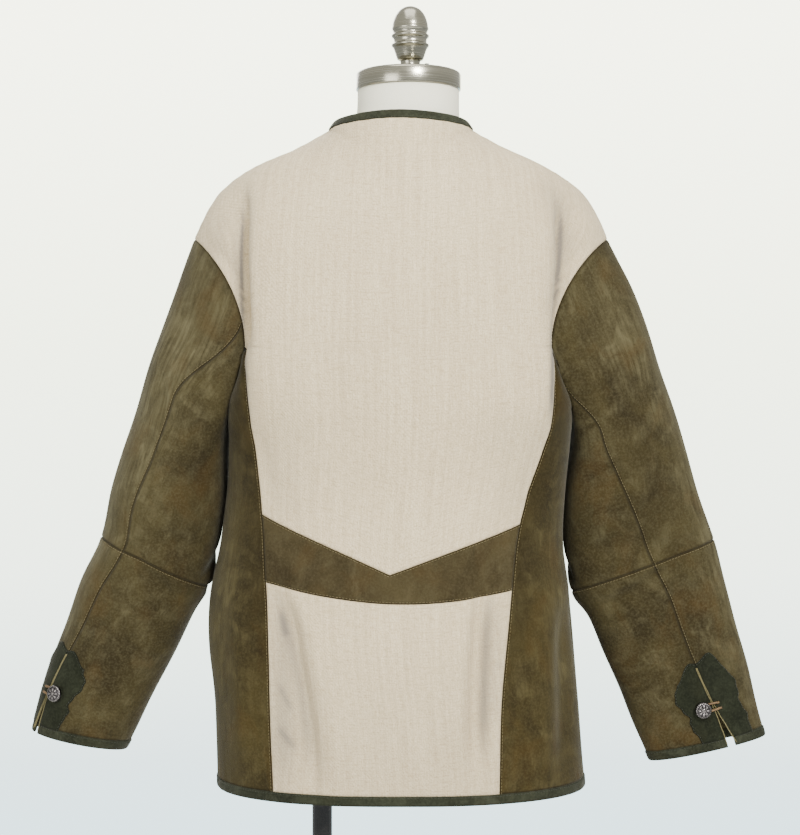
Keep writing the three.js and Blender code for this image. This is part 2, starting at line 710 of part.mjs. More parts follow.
// A front from its side seam and armhole to its edge at the middle.
function frontGrid(front) {
  const parts = HALF_SHARES.slice(1).toReversed().map((part) => part * front.side);
  const rows = sideLevels(front.share)
    .slice(0, -1)
    .map((z) => {
      const row = parts.map((part) => {
        const plain = betweenSeams(FRONT, "front", z, part);
        return { p: plain.p.addScaledVector(plain.n, front.lift(plain.p.x)), n: plain.n };
      });
      return [...row, frontAt(front, rowOf(z), panelEdge(front))];
    });
  const yoke = YOKE_ROWS.map((t) => [
    ...yokeRow(FRONT, t, parts, front.lift),
    frontAt(front, t, panelEdge(front)),
  ]);
  return [...rows, ...yoke];
}

// The binding down a front's free edge.
function frontBinding(front) {
  const rows = [...sideLevels(front.share).slice(0, -1).map(rowOf), ...YOKE_ROWS];
  return rows.map((t) => [frontAt(front, t, panelEdge(front)), frontAt(front, t, front.edge)]);
}

function buildFront(name, front) {
  add(`front_${name}`, wall(frontGrid(front), 0, WALL), SUEDE);
  add(`edge_binding_${name}`, wall(frontBinding(front), BINDING_OUT, BINDING_IN), GREEN_SUEDE);
}

// Places round the whole body, from the closing front's edge by the back to the other edge.
function roundTheBody(t, parts) {
  const { right, left } = FRONTS;
  const back = parts.slice(0, -1);
  return [
    frontAt(right, t, right.edge),
    frontAt(right, t, panelEdge(right)),
    ...parts.slice(1).map((s) => bodyAt(FRONT, t, -s, overLift(plainBody(FRONT, t, -s).x))),
    ...back.toReversed().map((s) => bodyAt(BACK, t, -s)),
    ...back.slice(1).map((s) => bodyAt(BACK, t, s)),
    ...parts.slice(1).toReversed().map((s) => bodyAt(FRONT, t, s)),
    frontAt(left, t, panelEdge(left)),
    frontAt(left, t, left.edge),
  ];
}

function buildHem() {
  const grid = [PANEL_Z, HEM_Z].map((z) => roundTheBody(rowOf(z), HALF_SHARES));
  add("hem_binding", wall(grid, BINDING_OUT, BINDING_IN), GREEN_SUEDE);
}

// The neck's binding goes on from the panels' edges and turns up a little.
function buildNeckBinding() {
  const edge = roundTheBody(2, steps(0, NECK_SHARE, 5));
  const grid = [0, 0.5, 1].map((f) =>
    edge.map(({ p, n }, i) => {
      const before = edge[Math.max(i - 1, 0)].p;
      const after = edge[Math.min(i + 1, edge.length - 1)].p;
      const onwards = after.clone().sub(before).cross(n).normalize();
      const place = p.clone().addScaledVector(onwards, NECK_BINDING_HEIGHT * f);
      place.z += 1.6 * f * f;
      return { p: place, n: n.clone() };
    }),
  );
  add("neck_binding", wall(grid, BINDING_OUT, BINDING_IN), GREEN_SUEDE);
}

// Angles of a sleeve's panels round the armhole: the top sleeve and the under sleeve.
const TOP_ANGLES = [-126, -108, -90, -75, -60, -45, -30, -15, 0, 15, 30, 45, 60, 75, 90, 108, 126];
const UNDER_ANGLES = [126, 144, 162, 180, 198, 216, 234];
const UPPER_ROWS = [0, 0.04, 0.09, 0.15, 0.21, 0.28, 0.36, 0.44, 0.52, ELBOW];
const CUFF_EDGE = 1 - BINDING_HEIGHT / SLEEVE_LENGTH;
const LOWER_ROWS = [ELBOW, 0.65, 0.7, 0.74, 0.78, 0.83, 0.88, 0.93, CUFF_EDGE];

const backSeam = (side, v) => at(sleeveTable(side), "v", v).seam;
const frontSeam = (side, v) =>
  lerp(UNDER_ANGLES.at(-1), backSeam(side, v) + 180, smooth(v, 0, 0.5));

// Millimetres round the sleeve for one degree.
function roundScale(side, v, phi) {
  return sleevePoint(side, v, phi + 0.5).distanceTo(sleevePoint(side, v, phi - 0.5));
}

// Angle of the vent's edge: of the top sleeve (-1) or of the under sleeve (1).
function ventEdge(side, v, which) {
  const seam = backSeam(side, v);
  return seam + (which * at(VENT, "v", v).half) / roundScale(side, v, seam);
}

// A sleeve panel between its two seams, its columns spread as at the armhole.
function sleevePanel(side, rows, angles, edges) {
  const [first, last] = [angles[0], angles.at(-1)];
  return rows.map((v) => {
    const [from, to] = edges(v);
    return angles.map((a) =>
      sleeveAt(side, v, lerp(from, to, (a - first) / (last - first))),
    );
  });
}

function buildSleeve(name, side) {
  const top = (v) => [frontSeam(side, v) - 360, ventEdge(side, v, -1)];
  const under = (v) => [ventEdge(side, v, 1), frontSeam(side, v)];
  const panel = (part, rows, angles, edges) =>
    add(`sleeve_${part}_${name}`, wall(sleevePanel(side, rows, angles, edges), 0, WALL), SUEDE);
  panel("top_upper", UPPER_ROWS, TOP_ANGLES, top);
  panel("top_lower", LOWER_ROWS, TOP_ANGLES, top);
  panel("under_upper", UPPER_ROWS, UNDER_ANGLES, under);
  panel("under_lower", LOWER_ROWS, UNDER_ANGLES, under);
  const cuff = [CUFF_EDGE, 1].map((v) => [
    ...sleevePanel(side, [v], TOP_ANGLES, top)[0].toReversed(),
    ...sleevePanel(side, [v], UNDER_ANGLES, under)[0].toReversed().slice(1),
  ]);
  add(`cuff_binding_${name}`, wall(cuff, BINDING_OUT, BINDING_IN), GREEN_SUEDE);
}

// A place on a sleeve near its vent: mm from the cuff's end and mm from the vent's edge.
function nearVent(side, which, distance, width, lift) {
  const v = 1 - distance / SLEEVE_LENGTH;
  const edge = ventEdge(side, v, which);
  const phi = edge + (which * width) / roundScale(side, v, edge + which * 10);
  return sleeveAt(side, v, phi, lift);
}

// A scalloped patch beside the vent, on the top sleeve (-1) or the under sleeve (1).
function buildPatch(name, side, which) {
  const grid = steps(BINDING_HEIGHT + 0.3, PATCH_LENGTH, 12).map((distance) => {
    const width = at(PATCH, "distance", distance).width;
    return steps(0.15, width, 4).map((w) =>
      nearVent(side, which, distance, w, PATCH_LIFT),
    );
  });
  add(name, wall(grid, PATCH_WALL, 0), GREEN_SUEDE);
}

// A domed button on its shank, with its foot at the origin.
const SHANK_SHARE = 0.28;
function buttonGeometry() {
  const profile = [
    [0, 0],
    [SHANK_SHARE, 0],
    [SHANK_SHARE, 0.36],
    [0.92, 0.36],
    [1, 0.44],
    [0.96, 0.58],
    [0.78, 0.78],
    [0.45, 0.92],
    [0, 0.97],
  ].map(([r, h]) => new THREE.Vector2(r * BUTTON_RADIUS, h * BUTTON_RADIUS));
  return new THREE.LatheGeometry(profile, 16).rotateX(RIGHT_ANGLE);
}
function addButton(name, { p, n }) {
  const button = add(name, buttonGeometry(), BUTTON_METAL);
  button.position.copy(p);
  button.quaternion.setFromUnitVectors(point(0, 0, 1), n);
}

// The leather loop that goes from the top sleeve's patch over the vent to the button.
function buildCuffButton(name, side, distance) {
  const patchTop = PATCH_LIFT + PATCH_WALL;
  const place = nearVent(side, 1, distance, CUFF_BUTTON_IN, patchTop + BUTTON_GAP);
  addButton(`cuff_button_${name}`, place);
  const lift = patchTop + BUTTON_GAP + LOOP_RADIUS;
  const around = SHANK_SHARE * BUTTON_RADIUS + LOOP_GAP + LOOP_RADIUS;
  const turn = steps(-1, 1, 8).map((f) => [
    around * Math.sin(f * RIGHT_ANGLE),
    CUFF_BUTTON_IN + around * Math.cos(f * RIGHT_ANGLE),
  ]);
  const path = [[-around, 3], ...turn, [around, 3]].map(([up, width]) =>
    nearVent(side, 1, distance + up, width, lift).p,
  );
  const start = nearVent(side, -1, distance - around * 0.8, 6, lift).p;
  const end = nearVent(side, -1, distance + around * 0.8, 6, lift).p;
  const curve = new THREE.CatmullRomCurve3([start, ...path, end]);
  const circle = new THREE.Shape().absarc(0, 0, LOOP_RADIUS, 0, 2 * Math.PI);
  const cord = { steps: 26, extrudePath: curve, curveSegments: 3 };
  add(`cuff_loop_${name}`, new THREE.ExtrudeGeometry(circle, cord), TAN_LEATHER);
}

// The corners of the slanted pocket flaps on the fronts, outer and inner.
const FLAP = { outerX: 152, innerX: 84, outerZ: 1000, innerZ: 952, height: 36, lift: 6, gap: 1.5 };
const FLAP_SHIFT = 4; // the right flap lies this far nearer the middle
function buildFlap(name, side) {
  const grid = [0, 1].map((g) =>
    steps(0, 1, 8).map((f) => {
      const x = side * lerp(FLAP.outerX, FLAP.innerX, f) + (side < 0 ? FLAP_SHIFT : 0);
      const z = lerp(FLAP.outerZ, FLAP.innerZ, f) + g * FLAP.height;
      const free = FLAP.lift * (1 - g) * (1 - smooth(f, 0, 0.5));
      return bodyAt(FRONT, rowOf(z), shareAt(FRONT, rowOf(z), x), FLAP.gap + free);
    }),
  );
  add(name, wall(grid, WALL, 0), GREEN_SUEDE);
}

// The buttons down the closing front, on the middle between its two edges.
const BUTTON_ROWS = [0.1, 0.4, 0.7, 1, 1.66];
function buildFrontButtons() {
  const x = (OVERLAP_X + UNDER_X) / 2;
  BUTTON_ROWS.forEach((t, i) => {
    addButton(`front_button_${i + 1}`, frontAt(FRONTS.right, t, x, FRONT_BUTTON_GAP));
  });
}

const closed = (loop) => [...loop, loop[0]];
// Triangles from a closed loop to a point.
const fan = (loop, tip) => loop.map((p, i) => [p, loop[(i + 1) % loop.length], tip]);

const FORM_SHARES = [...steps(0, NECK_SHARE, 5), 0.45, 0.63, 0.82, 1];
// The places round a row of the form, from its left by the back to its right and on.
function formRing(t) {
  const row = (face, parts) => parts.map((s) => plainBody(face, t, s));
  const falling = FORM_SHARES.toReversed();
  const rising = FORM_SHARES.slice(1).map((s) => -s);
  return [
    ...row(FORM_BACK, [...falling, ...rising]),
    ...row(FORM_FRONT, [...rising.toReversed().slice(1), ...falling.toReversed().slice(0, -1)]),
  ];
}

// The neck: rings from the form's neckline to the round top.
function neckRing(rise) {
  const parts = steps(-1, 1, 10).map((f) => f * NECK_SHARE);
  const places = [
    ...parts.toReversed().map((s) => [FORM_BACK, s]),
    ...parts.slice(1, -1).map((s) => [FORM_FRONT, s]),
  ];
  return places.map(([face, s]) => {
    const edge = plainBody(face, 2, s);
    const angle = (s / NECK_SHARE) * RIGHT_ANGLE;
    const round = point(
      FORM_NECK.x + FORM_NECK.radius * Math.sin(angle),
      FORM_NECK.y + face.sign * FORM_NECK.radius * Math.cos(angle),
      FORM_NECK.z,
    );
    const inwards = 1 - (1 - rise) ** 3;
    return point(
      lerp(edge.x, round.x, inwards),
      lerp(edge.y, round.y, inwards),
      lerp(edge.z, round.z, rise ** 1.3),
    );
  });
}

function buildForm() {
  const rings = [...steps(0, 1, 8), ...steps(1, 2, 7).slice(1)].map(formRing);
  const neck = steps(0, 1, 7).map(neckRing);
  const bottom = point(0, 0, FORM_BOTTOM_Z);
  const top = point(FORM_NECK.x, FORM_NECK.y, FORM_NECK.z);
  const triangles = [
    ...skin(rings.map(closed)),
    ...skin(neck.map(closed)),
    ...fan(rings[0].toReversed(), bottom),
    ...fan(neck.at(-1), top),
  ];
  add("form", solid(triangles), IVORY);
}

// A turned part about the vertical, from radii and heights.
function turned(profile, segments = 24) {
  const points = profile.map(([r, h]) => new THREE.Vector2(r, h));
  return new THREE.LatheGeometry(points, segments).rotateX(RIGHT_ANGLE);
}

function buildNeckCap() {
  const capZ = FORM_NECK.z + REST_GAP;
  const cap = [
    [0, 0],
    [CAP.radius - 1, 0],
    [CAP.radius, 1.2],
    [CAP.radius, CAP.height - 3],
    [CAP.radius - 3, CAP.height - 0.6],
    [CAP.radius - 10, CAP.height],
    [0, CAP.height],
  ];
  add("neck_cap", turned(cap, 40), STEEL).position.set(FORM_NECK.x, FORM_NECK.y, capZ);
  const finial = [
    [0, 0],
    [17, 0],
    [17, 2.5],
    [12, 5],
    [11, 12],
    [13, 16],
    [18, 22],
    [19.5, 27],
    [18.2, 30],
    [20, 33],
    [20, 38],
    [17.5, 41],
    [19, 44],
    [18.4, 52],
    [14.5, 61],
    [8, 67],
    [0, 69.5],
  ].map(([r, h]) => [r, (h * FINIAL_HEIGHT) / 69.5]);
  const finialZ = capZ + CAP.height + REST_GAP;
  add("finial", turned(finial), STEEL).position.set(FORM_NECK.x - 2, FORM_NECK.y, finialZ);
  const screw = [
    [0, 0],
    [1.6, 0],
    [1.6, 3],
    [4.2, 3.4],
    [4.6, 5],
    [4.2, 8],
    [0, 8.6],
  ];
  const knob = add("thumb_screw", turned(screw, 14), BLACK);
  knob.rotation.y = -RIGHT_ANGLE;
  knob.position.set(FORM_NECK.x - 2 - 12 - REST_GAP, FORM_NECK.y, finialZ + 9);
}

function buildStand() {
  const base = [
    [0, 0],
    [BASE.radius - 2, 0],
    [BASE.radius, 2],
    [BASE.radius, BASE.thickness - 4],
    [BASE.radius - 4, BASE.thickness],
    [0, BASE.thickness],
  ];
  add("base", turned(base, 64), BLACK).position.x = POLE.x;
  const poleBottom = BASE.thickness + REST_GAP;
  const socketZ = FORM_BOTTOM_Z - REST_GAP - SOCKET_HEIGHT;
  const pole = [
    [0, 0],
    [POLE.radius, 0],
    [POLE.radius, socketZ - REST_GAP - poleBottom],
    [0, socketZ - REST_GAP - poleBottom],
  ];
  add("pole", turned(pole), BLACK).position.set(POLE.x, 0, poleBottom);
  const socket = [
    [0, 0],
    [15, 0],
    [16, 2],
    [16, SOCKET_HEIGHT - 8],
    [34, SOCKET_HEIGHT - 4],
    [36, SOCKET_HEIGHT],
    [0, SOCKET_HEIGHT],
  ];
  add("pole_socket", turned(socket), BLACK).position.set(POLE.x, 0, socketZ);
}

buildBack();
buildSide("side_left", 1, 0);
buildSide("side_right", -1, 1);
buildFront("right", FRONTS.right);
buildFront("left", FRONTS.left);
buildHem();
buildNeckBinding();
for (const [name, side] of [["left", 1], ["right", -1]]) {
  buildSleeve(name, side);
  buildPatch(`cuff_patch_top_${name}`, side, -1);
  buildPatch(`cuff_patch_under_${name}`, side, 1);
  buildCuffButton(name, side, CUFF_BUTTON_UP);
  buildFlap(`pocket_flap_${name}`, side);
}
buildFrontButtons();
buildForm();
buildNeckCap();
buildStand();

export default jacketOnForm;
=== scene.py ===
"""A suede and twill jacket on a dress form: the cloth, the stand's finishes and the studio."""

import math

import bmesh
import bpy
import numpy as np
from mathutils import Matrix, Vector


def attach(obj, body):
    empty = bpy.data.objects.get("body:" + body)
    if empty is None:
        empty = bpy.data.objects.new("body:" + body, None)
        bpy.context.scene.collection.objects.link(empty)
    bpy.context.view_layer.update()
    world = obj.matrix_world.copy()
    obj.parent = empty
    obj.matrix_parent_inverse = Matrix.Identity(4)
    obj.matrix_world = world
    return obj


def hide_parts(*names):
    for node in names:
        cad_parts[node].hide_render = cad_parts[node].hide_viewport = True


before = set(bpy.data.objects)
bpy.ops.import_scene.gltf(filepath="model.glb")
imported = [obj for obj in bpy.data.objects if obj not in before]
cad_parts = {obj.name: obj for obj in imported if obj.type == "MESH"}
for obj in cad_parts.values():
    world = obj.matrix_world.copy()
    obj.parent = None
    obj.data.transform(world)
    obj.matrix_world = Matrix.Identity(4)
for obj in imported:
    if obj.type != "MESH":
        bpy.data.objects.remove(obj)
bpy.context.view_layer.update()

MM = 0.001
RIGHT_ANGLE = math.pi / 2

# Sizes of the jacket in millimetres, as its source has them.
CENTRE_SHIFT = 2.53
WALL = 1.8
BINDING_HEIGHT = 9
BINDING_OUT = 1.1
BINDING_THICKNESS = 3.4
BINDING_ROUNDNESS = 3.2
EDGE_COVER = 0.6
HEM_COVER = 1.2
CUFF_COVER = 2.0
NECK_BINDING_HEIGHT = 11
NECK_BINDING_DROP = 1.6
NECK_BINDING_RISE = 0.7
HEM_Z = 690
HEM_DIP = 5.5
PANEL_Z = HEM_Z + BINDING_HEIGHT
YOKE_Z = 1150
ARMPIT_Z = 1085
NECK_SHARE = 0.27
SHOULDER_Y = -8
BODY_ROUNDNESS = 2.35
YOKE_ROUNDNESS = 2.15
NECK_ARCH = 0.62
ARCH_SHARE = 0.62
CORNER_SPREAD = 0.3
NECK_DROP = 2.3
NECK_LEAN = 0.7
SIDE_LEAN = 0.5
SLEEVE_ROUNDNESS = 2.15
SLEEVE_LENGTH = 565
SLEEVE_SHIFT = 0.8
SLEEVE_EASE = 2.2
FITTED_SHARE = 0.24
ELBOW = 0.6
OVERLAP_X = 18
UNDER_X = -10
OVER_LIFT = 4.4
PATCH_LENGTH = 98
CUFF_BUTTON_IN = 12
CUFF_BUTTON_UP = 50
BUTTON_RADIUS = 9
SHANK_SHARE = 0.28
LOOP_RADIUS = 1.2
PATCH_OUT = 1.5
ON_PATCH = PATCH_OUT + 0.3
FRONT_BUTTON_LIFT = 0.45
CUFF_EDGE = 1 - BINDING_HEIGHT / SLEEVE_LENGTH
SIDES = (("left", 1), ("right", -1))

# Sizes of the form.
FORM_BOTTOM_Z = 720
FORM_CLEARANCE = 3
FORM_NECK_GAP = 10.5
FORM_END_DROP = 24
FORM_SHARE = 0.56
FORM_NECK = dict(x=-8, y=-8, radius=55, z=1430)
REST_GAP = 0.3
CAP_HEIGHT = 20

# How cloth behaves at a seam: its edge rolls in, and it puckers a little beside it.
ROLL_DEPTH = 1.25
ROLL_WIDTH = 3.2
PUCKER_DEPTH = 0.35
PUCKER_WIDTH = 11.0

# The jacket's level sections: height, sideways shift, half width, depth behind and in front.
BODY = np.array([
    [690, 0, 197, 137, 140],
    [770, 4, 195, 136, 142],
    [836, 10, 196, 132, 143],
    [890, 12, 193, 127, 142],
    [940, 10, 185, 124, 141],
    [1000, 5, 181.5, 124, 143],
    [1050, 2, 183, 127, 149],
    [1085, 1, 183, 130, 152],
    [1120, 2, 168, 131, 151],
    [1150, 3, 160, 131, 148],
], float)
# The shoulder line: share of it from the neck, x and z.
SHOULDER = np.array([
    [0, 77, 1388],
    [0.23, 115, 1366],
    [0.5, 163, 1343],
    [0.69, 194, 1321],
    [0.84, 210, 1297],
    [1, 223, 1268],
], float)
# The side seams: height, back left, back right, front left, front right.
SEAMS = np.array([
    [690, 131, -100, 150, -146],
    [770, 134, -101, 148, -142],
    [830, 136, -106, 146, -138],
    [903, 139, -114, 144, -134],
    [971, 143, -124, 146, -136],
    [1062, 155, -154, 158, -156],
    [1150, 163, -157, 163, -157],
], float)
SEAM_COLUMN = {("back", 1): 0, ("back", -1): 1, ("front", 1): 2, ("front", -1): 3}
# The waist belt's lower edge and its V, from its left end (0) to its right end (1).
BELT_LOW = np.array([[0, 907], [0.25, 894], [0.5, 887], [0.75, 889], [1, 899]], float)
BELT_HIGH = dict(left=976, middle=916, right=966)
FORM_BODY = np.array([
    [720, 0, 160, 116, 112],
    [800, 0, 158, 113, 110],
    [880, 0, 140, 98, 100],
    [950, 0, 126, 88, 95],
    [1020, 0, 133, 91, 108],
    [1090, 0, 143, 98, 122],
    [1150, 0, 148, 104, 118],
], float)

# Folds of the body, as seen from the back (1) or the front (-1): a line from (x0, z0) to
# (x1, z1) bowed sideways, the widths of its slopes to its left and right, and its depth.
BODY_FOLDS = np.array([
    # sign x0 z0 x1 z1 bow left right depth
    [1, 170, 1316, 160, 1150, 3, 18, 9, -14],
    [1, 166, 1310, 162, 1150, 2, 4.5, 4.5, -5],
    [1, -172, 1300, -160, 1140, -4, 9, 18, -14],
    [1, -168, 1300, -157, 1165, -3, 4.5, 4.5, -6],
    [1, 148, 1300, 142, 1070, 3, 10, 24, 5],
    [1, -152, 1296, -143, 1070, -3, 24, 10, 6],
    [1, 196, 1262, 178, 1178, 4, 9, 9, -3],
    [1, -197, 1256, -180, 1180, -4, 9, 9, -3],
    [1, 126, 905, 88, 700, -6, 18, 9, -11],
    [1, 98, 880, 62, 700, -6, 14, 22, 4],
    [1, 112, 884, 100, 842, 0, 8, 8, -2.2],
    [1, -84, 905, -76, 720, 3, 9, 15, -11],
    [1, -104, 900, -92, 700, 2, 12, 12, 4],
    [1, -62, 880, -52, 730, 4, 16, 16, 2.5],
    [1, 60, 1150, 66, 950, 5, 26, 26, -3],
    [1, -62, 1190, -58, 960, -6, 24, 24, -4],
    [1, 98, 1270, 104, 1060, 6, 30, 26, 2],
    [1, -104, 1250, -104, 1050, -6, 28, 30, 2.5],
    [1, 20, 1300, 14, 1080, 5, 40, 40, 1.6],
    [1, -150, 900, -148, 710, 3, 16, 16, 6],
    [1, -172, 880, -172, 720, 0, 13, 13, -6],
    [1, 168, 900, 160, 710, 0, 15, 15, 5],
    [1, 150, 1060, 132, 985, 0, 12, 12, -3],
    [1, -150, 1060, -128, 985, 0, 12, 12, -3],
    [-1, 172, 1300, 165, 1150, 4, 14, 10, -12],
    [-1, -172, 1300, -165, 1150, -4, 10, 14, -12],
    [-1, 105, 880, 92, 700, 3, 17, 17, -6],
    [-1, -108, 880, -96, 700, -4, 17, 17, -6],
    [-1, 62, 900, 70, 740, 3, 22, 22, 4],
    [-1, -66, 900, -74, 740, -3, 22, 22, 4],
    [-1, 90, 1230, 60, 1040, 8, 26, 26, -3],
    [-1, -92, 1240, -66, 1050, -8, 26, 26, -3.5],
    [-1, 132, 1010, 120, 900, 3, 14, 14, 3],
    [-1, -134, 1010, -122, 900, -3, 14, 14, 3],
], float)

# Painted shade on the twill, darker in its creases and hollows: a line as a fold's, a width and a strength.
TWILL_SHADES = np.array([
    # x0 z0 x1 z1 bow width strength
    [-168, 1298, -157, 1180, -3, 2.3, 1.0],
    [-164, 1285, -154, 1180, -3, 8, 0.4],
    [-157, 1190, -154, 1070, 0, 3.2, 0.95],
    [166, 1308, 163, 1150, 2, 2.1, 1.0],
    [171, 1290, 167, 1150, 2, 6, 0.35],
    [162, 1160, 157, 1062, 0, 3.0, 0.9],
    [130, 905, 92, 715, -7, 7, 0.45],
    [128, 900, 118, 700, -3, 12, 0.42],
    [126, 806, 110, 776, 0, 3, 0.3],
    [127, 762, 106, 738, 0, 3.5, 0.35],
    [124, 880, 117, 850, 0, 4, 0.35],
    [-91, 905, -84, 730, 3, 5.5, 0.6],
    [-97, 905, -92, 760, 0, 10, 0.22],
    [-96, 826, -103, 822, 0, 2.5, 0.25],
    [-150, 1330, -172, 1240, -6, 12, 0.25],
    [176, 1300, 196, 1240, 5, 12, 0.2],
    [100, 1090, 110, 960, 4, 30, 0.1],
    [-100, 1090, -108, 960, -4, 30, 0.12],
], float)

# The sleeves' sections from the armhole (0) to the cuff (1): the outer and the inner end's
# x and z, the middle's depth, the half thickness and the back seam's angle.
LEFT_SLEEVE = np.array([
    [0, 223, 1268, 187, 1085, 0, 75, 78],
    [0.12, 246, 1203, 186.6, 1045, -2, 70, 76],
    [0.25, 270, 1138, 187.4, 1005, -5, 67, 73],
    [0.38, 293, 1065, 192, 965, -8, 64, 68],
    [0.5, 311, 1005, 199, 928, -9, 60, 62],
    [0.6, 325, 948, 207, 893, -10, 57, 61],
    [0.7, 347, 900, 226, 862, -14, 53, 56],
    [0.78, 363, 855, 243, 826, -17, 50, 51],
    [0.86, 381, 812, 262, 790, -20, 46, 45],
    [1, 402, 738, 301, 716, -25, 42, 32],
], float)
RIGHT_SLEEVE = np.array([
    [0, 224, 1268, 187, 1085, 0, 75, 116],
    [0.12, 255, 1203, 184, 1045, -2, 66, 111],
    [0.25, 278, 1138, 178, 1003, -5, 60, 107],
    [0.38, 301, 1065, 176, 962, -8, 52, 96],
    [0.5, 319, 1005, 177.5, 925, -9, 44, 88],
    [0.6, 339, 944, 184, 888, -10, 38, 84],
    [0.7, 352, 898, 203, 860, -14, 36, 82],
    [0.78, 364, 855, 220, 820, -17, 33, 81],
    [0.86, 378, 806, 243, 771, -20, 31, 79],
    [1, 397, 731, 271, 703, -25, 28, 68],
], float)
# Folds of the sleeves, from (v0, phi0) to (v1, phi1) in shares and degrees.
SLEEVE_FOLDS = np.array([
    # side v0 phi0 v1 phi1 width depth
    [1, 0.5, 120, 0.6, 60, 12, -5],
    [1, 0.66, 130, 0.6, 70, 10, -4],
    [1, 0.3, 130, 0.42, 80, 14, -4],
    [1, 0.1, 40, 0.3, 62, 16, -3],
    [1, 0.55, 95, 0.63, 40, 9, 2],
    [1, 0.45, 205, 0.58, 150, 12, -4],
    [1, 0.62, 230, 0.6, 170, 10, -3],
    [1, 0.75, 110, 0.86, 80, 12, -2.5],
    [1, 0.55, -20, 0.62, -80, 12, -4],
    [1, 0.68, -30, 0.62, -90, 10, -3],
    [-1, 0.5, 130, 0.6, 60, 12, -5],
    [-1, 0.68, 130, 0.61, 70, 10, -4],
    [-1, 0.28, 140, 0.4, 90, 14, -4],
    [-1, 0.08, 50, 0.28, 66, 16, -3],
    [-1, 0.56, 100, 0.66, 50, 9, 2],
    [-1, 0.45, 215, 0.58, 160, 12, -4],
    [-1, 0.63, 235, 0.6, 180, 10, -3],
    [-1, 0.74, 120, 0.84, 90, 12, -2.5],
    [-1, 0.55, -25, 0.62, -85, 12, -4],
    [-1, 0.7, -35, 0.63, -95, 10, -3],
], float)
# Half the gap between the cuff vent's edges, and the patches' width from the cuff's end.
VENT = np.array([[0, 0], [0.78, 0], [0.83, 0], [0.92, 0.9], [1, 5]], float)
PATCH = np.array([
    [0, 25], [20, 27], [35, 31], [50, 29], [62, 33], [78, 36], [92, 30], [PATCH_LENGTH, 27],
], float)


# Numbers and curves.

def lerp(a, b, f):
    return a + (b - a) * f


def smooth(x, low, high):
    """0 below low, 1 above high, and 3f² - 2f³ between."""
    f = np.clip((x - low) / (high - low), 0, 1)
    return f * f * (3 - 2 * f)


def bell(x, middle, width):
    return np.exp(-(((x - middle) / width) ** 2))


def turned_from(phi, middle):
    """An angle in degrees counted from another one, from -180 to 180."""
    return np.mod(phi - middle + 180, 360) - 180


def along(rows, place):
    """The columns of a table at places: between two rows a cubic whose slopes at both ends
    are those of the chords between the neighbouring rows."""
    x, y = rows[:, 0], rows[:, 1:]
    p = np.clip(np.asarray(place, float), x[0], x[-1])
    i = np.clip(np.searchsorted(x, p, side="left") - 1, 0, len(x) - 2)
    before, after = np.maximum(i - 1, 0), np.minimum(i + 2, len(x) - 1)
    width = (x[i + 1] - x[i])[..., None]
    u = (p - x[i])[..., None] / width
    m1 = (y[i + 1] - y[before]) / (x[i + 1] - x[before])[..., None] * width
    m2 = (y[after] - y[i]) / (x[after] - x[i])[..., None] * width
    cubic = 2 * (y[i] - y[i + 1]) + m1 + m2
    square = 3 * (y[i + 1] - y[i]) - 2 * m1 - m2
    return y[i] + u * (m1 + u * (square + u * cubic))


def superellipse(angle, exponent):
    """A unit superellipse's point at an angle: the sine's and the cosine's side."""
    s, c = np.sin(angle), np.cos(angle)
    r = (np.abs(s) ** exponent + np.abs(c) ** exponent) ** (-1 / exponent)
    return r * s, r * c


SEAM_BAND = 6.8
NARROW_SEAM = (0, 0.5, 1.2, 2.2)


def spaced(length, step, fine=(0, 0.5, 1.1, 1.9, 3.0, 4.6, SEAM_BAND)):
    """Shares from 0 to 1 of a length in millimetres: finely spaced at both ends, where the
    cloth rolls into a seam, and about one step apart between."""
    ends = np.array(fine) / length
    count = max(2, round(length * (1 - 2 * ends[-1]) / step))
    return np.concatenate([ends[:-1], np.linspace(ends[-1], 1 - ends[-1], count + 1), 1 - ends[-2::-1]])


def rows_past_yoke(below, above, step):
    """Rows of a panel that goes on past the yoke's height, finely spaced at its ends alone: shares
    of the length below that height, and places from 1 to 2 over the length above it."""
    low, high = spaced(below, step), spaced(above, step)
    end, start = 1 - SEAM_BAND / below, SEAM_BAND / above
    low, high = low[low <= end + 1e-9] / end, high[high >= start - 1e-9]
    return low, 1 + (high - high[0]) / (1 - high[0])


def along_line(x, z, x0, z0, x1, z1, bow=0.0):
    """The share f along a line at which a place lies, and its distance to the left of the line,
    which is bowed sideways by bow · (1 - (2f - 1)²)."""
    dx, dz = x1 - x0, z1 - z0
    length = math.hypot(dx, dz)
    f = ((x - x0) * dx + (z - z0) * dz) / length**2
    return f, ((x - x0) * -dz + (z - z0) * dx) / length - bow * (1 - (2 * f - 1) ** 2)


# The jacket's body.

def jacket_shoulder(share):
    return along(SHOULDER, share)


def form_shoulder(share):
    """The jacket's shoulder line moved in square to itself, and down at both of its ends."""
    here = along(SHOULDER, share * FORM_SHARE)
    step = along(SHOULDER, share * FORM_SHARE + 0.01) - here
    length = np.hypot(step[..., 0], step[..., 1])
    at_neck = FORM_NECK_GAP * (1 - smooth(share, 0, 0.15))
    at_end = FORM_END_DROP * smooth(share, 0.78, 1.2)
    x = here[..., 0] + FORM_CLEARANCE * step[..., 1] / length - at_neck
    z = here[..., 1] - FORM_CLEARANCE * step[..., 0] / length - at_neck - at_end
    return np.stack([x, z], -1)


